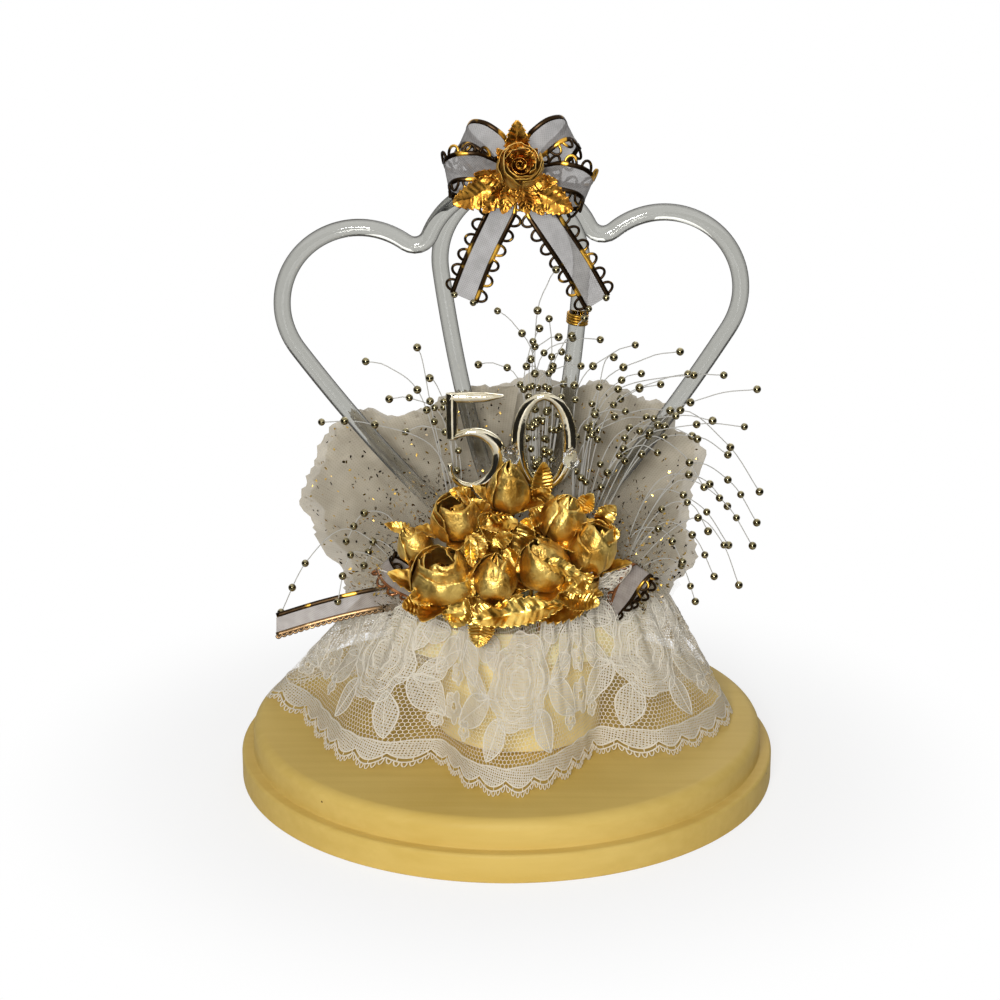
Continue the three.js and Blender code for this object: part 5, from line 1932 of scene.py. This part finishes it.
@dataclass
class LaceSkirt:
    """Gathered lace edging: net ground, cloth-stitch roses and leaves, cord outlines, scalloped hem.

    The tables go round the skirt by direction in degrees, with the front at -90: the hem's reach, the
    rim's height over the foam and how far the heading stands up over the rim. The net's cells and
    threads are drawn coarser than the real ones, which would be too fine to show.
    """

    repeats: int = 6
    cell: float = 1.5
    thread: float = 0.19
    cord: float = 0.24
    scallops: int = 42
    scallop_depth: float = 2.6
    scallop_steps: int = 9
    picot: float = 1.7
    picots: int = 6
    ladder: float = 1.5
    band: Pair = (3.4, 6.6)
    stitch_lift: float = 0.07
    top_gap: float = 1.1
    floor_gap: float = 0.7
    header: float = 9.0
    header_lean: float = 0.8
    fall: float = 0.92
    gathers: int = 44
    gather: float = 2.0
    hem: tuple[Pair, ...] = (
        (-180, 73), (-165, 68), (-150, 67), (-139, 62), (-128, 46), (-118, 48), (-107, 57), (-92, 62),
        (-76, 52), (-60, 42), (-47, 39), (-35, 55), (-22, 62), (4, 72), (22, 68), (40, 55), (58, 57),
        (76, 47), (94, 56), (112, 48), (130, 58), (148, 68), (166, 88),
    )
    rim: tuple[Pair, ...] = (
        (-180, 6), (-165, 9), (-145, 10), (-128, 6), (-105, 3), (-92, 5), (-80, 9), (-66, 12), (-45, 13),
        (-25, 10), (0, 9), (90, 10), (150, 9), (180, 6),
    )
    heading: tuple[Pair, ...] = (
        (-180, 3), (-162, 6), (-152, 11), (-143, 7), (-130, 3), (-108, 2), (-90, 3), (-78, 8), (-60, 11),
        (-48, 13), (-37, 8), (-20, 3), (60, 3), (180, 3),
    )
    shell: Shell = field(init=False, default_factory=Shell)
    length: float = field(init=False)
    depth: float = field(init=False)

    def __post_init__(self) -> None:
        """Measures the cloth: its length along the hem and its mean depth down from the rim."""
        around = np.linspace(0, 1, 721)
        line = self.surface(around, np.ones_like(around))
        self.length = float(np.linalg.norm(np.diff(line, axis=0), axis=1).sum())
        down = np.linspace(0, 1, 41)
        runs = []
        for u in np.linspace(0, 1, 36, endpoint=False):
            line = self.surface(np.full_like(down, u), down)
            runs.append(np.linalg.norm(np.diff(line, axis=0), axis=1).sum())
        self.depth = float(np.mean(runs))

    def hem_reach(self, turn: np.ndarray) -> np.ndarray:
        """Finds the hem's reach, on a smooth closed curve through its points.

        Args:
            turn: Directions in degrees.

        Returns:
            The reach in each of them.
        """
        angles, reach = (np.array(column) for column in zip(*self.hem))
        count = len(reach)
        after = np.searchsorted(angles, turn, side="right")
        low = after - 1
        span = (angles[after % count] - angles[low]) % 360
        t = (turn - angles[low]) / span
        a, b, c, d = (reach[(low + k) % count] for k in (-1, 0, 1, 2))
        return (b * (2 * t ** 3 - 3 * t ** 2 + 1) + (c - a) / 2 * (t ** 3 - 2 * t ** 2 + t)
                + c * (3 * t ** 2 - 2 * t ** 3) + (d - b) / 2 * (t ** 3 - t ** 2))

    def header_height(self, turn: np.ndarray) -> np.ndarray:
        """Returns how far the ragged heading stands up over the rim in each direction."""
        ragged = 0.16 * np.sin(np.radians(23 * turn)) + 0.14 * np.sin(np.radians(41 * turn))
        return np.interp(turn, *zip(*self.heading)) * (0.85 + ragged)

    def surface(self, u: np.ndarray, v: np.ndarray) -> np.ndarray:
        """Places points of the cloth in the part's frame.

        Args:
            u: Share of the way round, from the left side through the front.
            v: Share of the way down; below 0 it stands up over the rim.

        Returns:
            One row of x, y and z for each point.
        """
        turn = (u % 1) * 360 - 180
        rad = np.radians(turn)
        half_wide = (FOAM_HIGH.x - FOAM_LOW.x) / 2 + self.top_gap
        half_deep = (FOAM_HIGH.y - FOAM_LOW.y) / 2 + self.top_gap
        top = 1 / np.hypot(np.cos(rad) / half_wide, np.sin(rad) / half_deep)
        down, over = np.clip(v, 0, 1), np.clip(-v, 0, 1)
        out = top + (self.hem_reach(turn) - top) * down ** self.fall
        wave = 0.5 + 0.5 * np.cos(np.radians(self.gathers * turn) + 1.6 * np.sin(np.radians(5 * turn)))
        out += self.gather * wave * (1 - down) ** 1.3 * np.clip(0.35 + 4 * down + 3 * over, 0, 1)
        rise = self.header_height(turn)
        out += over * rise * self.header_lean
        rim = np.interp(turn, *zip(*self.rim))
        floor = box_mm("base_plate")[1].z + self.floor_gap - BOUQUET.z
        z = rim + (floor - rim) * down + over * rise
        x, y = BOUQUET.x + out * np.cos(rad), BOUQUET.y + out * np.sin(rad)
        return np.stack([x, y, BOUQUET.z + z], axis=-1)

    def laid(self, flat: np.ndarray, lift: float = 0.0) -> np.ndarray:
        """Places points of the flat pattern on the cloth.

        Args:
            flat: Millimetres along the hem and down from the rim.
            lift: How far they stand out from the cloth.

        Returns:
            One row of x, y and z for each point.
        """
        u = flat[:, 0] / self.length
        v = np.where(flat[:, 1] < 0, flat[:, 1] / self.header, flat[:, 1] / self.depth)
        step = 5e-4
        along = self.surface(u + step, v) - self.surface(u - step, v)
        down = self.surface(u, v + step) - self.surface(u, v - step)
        normal = np.cross(down, along)
        normal /= np.maximum(np.linalg.norm(normal, axis=1, keepdims=True), 1e-9)
        return self.surface(u, v) + normal * lift

    def hem_line(self, s: np.ndarray) -> np.ndarray:
        """Returns how far down the scalloped edge of the net comes along the hem."""
        share = (s / self.length * self.scallops) % 1
        return self.depth - self.picot - self.ladder - self.scallop_depth * (1 - np.sin(np.pi * share))

    def net(self) -> None:
        """Adds the six-sided net ground as flat threads."""
        across = round(self.length / self.cell)
        pitch = self.length / across
        row = pitch * math.sqrt(3) / 2
        first, last = -int(self.header / row), int(self.depth / row) + 1
        i, j = (a.ravel() for a in np.meshgrid(np.arange(across), np.arange(first, last)))
        one = np.stack([i * pitch + (j % 2) * pitch / 2, j * row], 1)
        up = one + (0, pitch / math.sqrt(3))
        shifts = ((0, 0), (-pitch / 2, -row), (pitch / 2, -row))
        ends = np.concatenate([np.stack([one, up + shift], 1) for shift in shifts])
        lowest, highest = ends[:, :, 1].max(axis=1), ends[:, :, 1].min(axis=1)
        hem = self.hem_line(ends.mean(axis=1)[:, 0])
        ends = ends[(lowest < hem) & (highest > -self.header)]
        run = ends[:, 1] - ends[:, 0]
        run /= np.linalg.norm(run, axis=1, keepdims=True)
        aside = np.stack([-run[:, 1], run[:, 0]], 1) * self.thread / 2
        start, end = ends[:, 0], ends[:, 1]
        flat = np.stack([start - aside, end - aside, end + aside, start + aside], 1).reshape(-1, 2)
        faces = np.arange(len(flat)).reshape(-1, 4)
        self.shell.add(self.laid(flat).tolist(), faces.tolist(), 0, flat.tolist())

    def line(self, flat: np.ndarray, half: float, loop: bool = False, lift: float = 0.2) -> None:
        """Adds a raised cord along a line of the pattern.

        Args:
            flat: The line on the flat pattern.
            half: Half the cord's width.
            loop: Whether it closes on itself.
            lift: How far its middle stands out.
        """
        ahead = np.roll(flat, -1, axis=0) - np.roll(flat, 1, axis=0)
        if not loop:
            ahead[0], ahead[-1] = flat[1] - flat[0], flat[-1] - flat[-2]
        ahead /= np.maximum(np.linalg.norm(ahead, axis=1, keepdims=True), 1e-9)
        aside = np.stack([-ahead[:, 1], ahead[:, 0]], 1)
        section = ((-1, 0.0), (-0.6, 0.8), (0, 1.0), (0.6, 0.8), (1, 0.0))
        rows = [self.laid(flat + aside * (half * a), lift * b + 0.06) for a, b in section]
        lines = [[Vector(p) for p in row] for row in rows]
        self.shell.grid(list(zip(*lines)), 0, loop=loop)

    def patch(self, outline: np.ndarray, centre: np.ndarray, inner: float = 0.0, rings: int = 3) -> None:
        """Fills an outline, or the band inside it, with cloth stitch and cords its edge.

        Args:
            outline: The outline on the flat pattern.
            centre: The point that it is filled from.
            inner: Where the band's inner edge lies, as a share of the outline.
            rings: Steps from the inner edge out.
        """
        shares = np.linspace(max(inner, 0.02), 1, rings + 1)
        flats = [centre + (outline - centre) * share for share in shares]
        rows = [[Vector(p) for p in self.laid(flat, self.stitch_lift)] for flat in flats]
        self.shell.grid(rows, 1, ring=True, flat=[tuple(p) for flat in flats for p in flat])
        self.line(outline, self.cord, loop=True)
        if inner:
            self.line(centre + (outline - centre) * inner, self.cord * 0.8, loop=True)

    def outline(self, motif: Motif, size: Pair, turn: float) -> np.ndarray:
        """Draws a motif's outline about its own start.

        Args:
            motif: Which motif.
            size: Its length and width, or its radius twice.
            turn: Its direction in degrees.

        Returns:
            The outline's points.
        """
        long, wide = size
        if motif is Motif.LEAF:
            share = np.concatenate([np.linspace(0, 1, 15), np.linspace(1, 0, 15)[1:-1]])
            hand = np.concatenate([np.ones(15), -np.ones(13)])
            points = np.stack([share * long, hand * wide / 2 * np.sin(np.pi * share ** 0.85) ** 0.8], 1)
        else:
            around = np.linspace(0, math.tau, 40, endpoint=False)
            lobes, depth = (2.5, 0.3) if motif is Motif.FLOWER else (3.5, 0.14)
            reach = long * (1 - depth + depth * np.abs(np.cos(lobes * around)))
            points = np.stack([reach * np.cos(around), reach * np.sin(around) * wide / long], 1)
        c, s = math.cos(math.radians(turn)), math.sin(math.radians(turn))
        return points @ np.array([[c, s], [-s, c]])

    def flower(self, middle: np.ndarray, size: Pair, turn: float, inner: float) -> None:
        """Adds a small flower of a size and turn, with an open eye of a share of that size."""
        self.patch(middle + self.outline(Motif.FLOWER, size, turn), middle, inner)

    def repeat(self, start: float) -> None:
        """Adds one repeat of the pattern.

        Args:
            start: Where it starts along the hem.
        """
        wide = self.length / self.repeats
        rose = np.array([start + wide * 0.5, self.depth * 0.35])
        for reach, inner in ((16.5, 0.8), (12.6, 0.74), (8.6, 0.66), (5.2, 0.0)):
            self.patch(rose + self.outline(Motif.ROSE, (reach, reach), 13 * reach), rose, inner)
        # Foot as shares of the repeat and the depth, length, width and direction in degrees.
        leaves = [
            (0.29, 0.42, 21, 11, 140), (0.38, 0.54, 16, 9, 108), (0.71, 0.42, 21, 11, 40),
            (0.62, 0.54, 16, 9, 72), (0.3, 0.16, 14, 8, 190), (0.7, 0.16, 14, 8, -12),
            (0.04, 0.12, 18, 9.5, 58), (0.96, 0.12, 18, 9.5, 122), (0.09, 0.32, 15, 8.5, 25),
            (0.91, 0.32, 15, 8.5, 155), (0.0, 0.02, 15, 8, 90), (0.26, 0.05, 13, 7.5, 75),
            (0.74, 0.05, 13, 7.5, 105),
        ]
        for across, down, long, broad, turn in leaves:
            foot = np.array([start + wide * across, self.depth * down])
            outline = foot + self.outline(Motif.LEAF, (long, broad), turn)
            self.patch(outline, outline.mean(axis=0))
            tip = outline[len(outline) // 2]
            self.line(np.linspace(outline[0], tip, 8), self.cord * 0.7)
        for across, down, reach in ((0.0, 0.58, 6.4), (0.13, 0.68, 3.8), (0.87, 0.68, 3.8), (0.0, 0.36, 4.4)):
            middle = np.array([start + wide * across, self.depth * down])
            self.flower(middle, (reach, reach), 40 * across, 0.32)
        t = np.linspace(0.27, 1, 18)
        for hand in (-1, 1):
            stem = np.stack([hand * t * wide * 0.5, 6 * np.sin(math.pi * 1.5 * t) - 2 * t], 1)
            self.line(rose + stem, self.cord)

    def frill(self) -> None:
        """Adds the small flowers where the heading stands up beside the roses."""
        # Direction in degrees and reach.
        places = (
            (-164, 3.4), (-156, 3.6), (-148, 3.6), (-140, 3.2), (-76, 3.2), (-67, 3.8), (-58, 4.0),
            (-50, 4.2), (-42, 3.8),
        )
        for angle, reach in places:
            middle = np.array([(angle + 180) / 360 * self.length, -self.header * 0.5])
            self.flower(middle, (reach * 1.7, reach), 0, 0.3)

    def edge(self) -> None:
        """Adds the scalloped hem: a cloth-stitch lobe in each scallop, cords and a row of picots."""
        s = np.linspace(0, self.length, self.scallops * self.scallop_steps, endpoint=False)
        hem = self.hem_line(s)
        share = (s / self.length * self.scallops) % 1
        least, most = self.band
        band = least + (most - least) * np.sin(np.pi * share)
        flats = [np.stack([s, hem - band * part], 1) for part in (1.0, 0.66, 0.33, 0.0)]
        rows = [[Vector(p) for p in self.laid(flat, self.stitch_lift)] for flat in flats]
        self.shell.grid(rows, 2, ring=True, flat=[tuple(p) for flat in flats for p in flat])
        for line, half in ((hem - band, self.cord), (hem, self.cord * 1.2), (hem + self.ladder, self.cord)):
            self.line(np.stack([s, line], 1), half, loop=True)
        top = -self.header * 0.98 + 0.8 * np.sin(np.pi * 2 * share)
        self.line(np.stack([s, top], 1), self.cord * 1.2, loop=True)
        count = self.scallops * self.picots
        step = self.length / count
        turn = np.linspace(0, np.pi, 6)
        for k in range(count):
            middle = (k + 0.5) * step
            along = middle - step * 0.36 * np.cos(turn)
            out = self.hem_line(along) + self.ladder + self.picot * np.sin(turn)
            self.line(np.stack([along, out], 1), self.cord * 0.7, lift=0.15)
            if k % 2:
                at = np.full(3, middle)
                bar = self.hem_line(at) + self.ladder * np.linspace(0, 1, 3)
                self.line(np.stack([at, bar], 1), self.cord * 0.6, lift=0.12)

    def build(self) -> None:
        """Builds the skirt as one piece."""
        self.net()
        for k in range(self.repeats):
            self.repeat(self.length * k / self.repeats)
        self.frill()
        self.edge()
        made = self.shell.piece("lace_edging", [COTTON, LACE_FILL, LACE_BAND], "white_lace", ["lace_skirt"])


@dataclass
class Studio:
    """Pale floor, soft lamps, dark cards for the metal to mirror, and the camera.

    The eye and the floor are in millimetres; lamps and cards are in metres and watts.
    """

    eye: Triple = (-2.24, -759.62, 344.93)
    pitch: float = 18.282
    field_of_view: float = 23.1335
    sensor: float = 36.0
    clip: Pair = (0.01, 20.0)
    floor_radius: float = 4000.0
    floor_sides: int = 96
    ambient: float = 0.15
    lamp_aim: Triple = (0, 0, 0.1)
    card_aim: Triple = (0, 0, 0.12)
    card_size: Pair = (0.6, 0.3)

    def camera(self) -> None:
        """Sets the camera at the photograph's angle."""
        data = bpy.data.cameras.new("view")
        data.sensor_width = self.sensor
        data.lens = self.sensor / 2 / math.tan(math.radians(self.field_of_view) / 2)
        data.clip_start, data.clip_end = self.clip
        made = add_object("view", data)
        made.location = Vector(self.eye) * MM
        made.rotation_euler = (math.radians(90 - self.pitch), 0, 0)
        bpy.context.scene.camera = made

    def floor(self) -> None:
        """Lays the white floor, which keeps the object's shadow."""
        mesh = bpy.data.meshes.new("floor")
        reach = self.floor_radius * MM
        rim = [(reach * a, reach * b, 0) for a, b in circle(self.floor_sides)]
        mesh.from_pydata(rim, [], [tuple(range(self.floor_sides))])
        mesh.materials.append(FLOOR_PAPER.material())
        add_object("floor", mesh)

    def world(self) -> None:
        """Gives an even light all round, white where it is seen, mirrored or seen through."""
        world = bpy.data.worlds.new("studio")
        world.use_nodes = True
        tree = world.node_tree
        tree.nodes.clear()
        add = partial(add_node, tree)
        ray = add("LightPath").outputs
        some = add("Math", {0: ray["Is Camera Ray"], 1: ray["Is Transmission Ray"]}, operation="MAXIMUM")
        seen = add("Math", {0: some, 1: ray["Is Glossy Ray"]}, operation="MAXIMUM")
        level = add("MapRange", {"Value": seen, "To Min": self.ambient, "To Max": 1.0})
        light = add("Background", {"Color": (1, 1, 1, 1), "Strength": level})
        add("OutputWorld", {"Surface": light})
        bpy.context.scene.world = world

    def face(self, made: bpy.types.Object, place: Triple, aim: Triple) -> None:
        """Puts an object in its place, turned to face a point."""
        made.location = place
        made.rotation_euler = (Vector(aim) - made.location).to_track_quat("-Z", "Y").to_euler()

    def lamp(self, name: str, place: Triple, size: float, power: float) -> None:
        """Hangs a soft square lamp that faces the object.

        Args:
            name: Its name.
            place: Where it hangs.
            size: Its side.
            power: Its power.
        """
        data = bpy.data.lights.new(name, "AREA")
        data.size = size
        data.energy = power
        self.face(add_object(name, data), place, self.lamp_aim)

    def card(self, name: str, place: Triple) -> None:
        """Stands a black card out of sight, for metal and clear pieces to mirror, not to show through them.

        Args:
            name: Its name.
            place: Its middle.
        """
        x, y = (side / 2 for side in self.card_size)
        mesh = bpy.data.meshes.new(name)
        mesh.from_pydata([(-x, -y, 0), (x, -y, 0), (x, y, 0), (-x, y, 0)], [], [(0, 1, 2, 3)])
        mesh.materials.append(CARD.material())
        made = add_object(name, mesh)
        self.face(made, place, self.card_aim)
        made.visible_camera = False
        made.visible_diffuse = False
        made.visible_shadow = False
        made.visible_transmission = False

    def build(self) -> None:
        """Sets up the studio."""
        bpy.context.scene.view_settings.view_transform = "Standard"
        self.camera()
        self.floor()
        self.world()
        self.lamp("key", (-0.14, -0.95, 0.44), 0.22, 7.4)
        self.lamp("fill", (0.5, -0.8, 0.7), 0.5, 0.35)
        self.lamp("top", (-0.1, 0.1, 1.0), 0.6, 0.8)
        self.lamp("back", (0.3, 0.9, 0.7), 0.6, 2.4)
        self.card("card_left", (-0.22, -0.12, 0.13))
        self.card("card_right", (0.22, -0.12, 0.13))


def main() -> None:
    """Builds every sub-assembly in order."""
    logging.basicConfig(level=logging.INFO, format="%(name)s: %(message)s")
    assemblies = (Studio, Stand, Hearts, Bow, Numerals, Bouquet, Tulle, Sprays, SideRibbons, LaceSkirt)
    for assembly in assemblies:
        assembly().build()
        log.info("%s done", assembly.__name__)


if __name__ == "__main__":
    main()
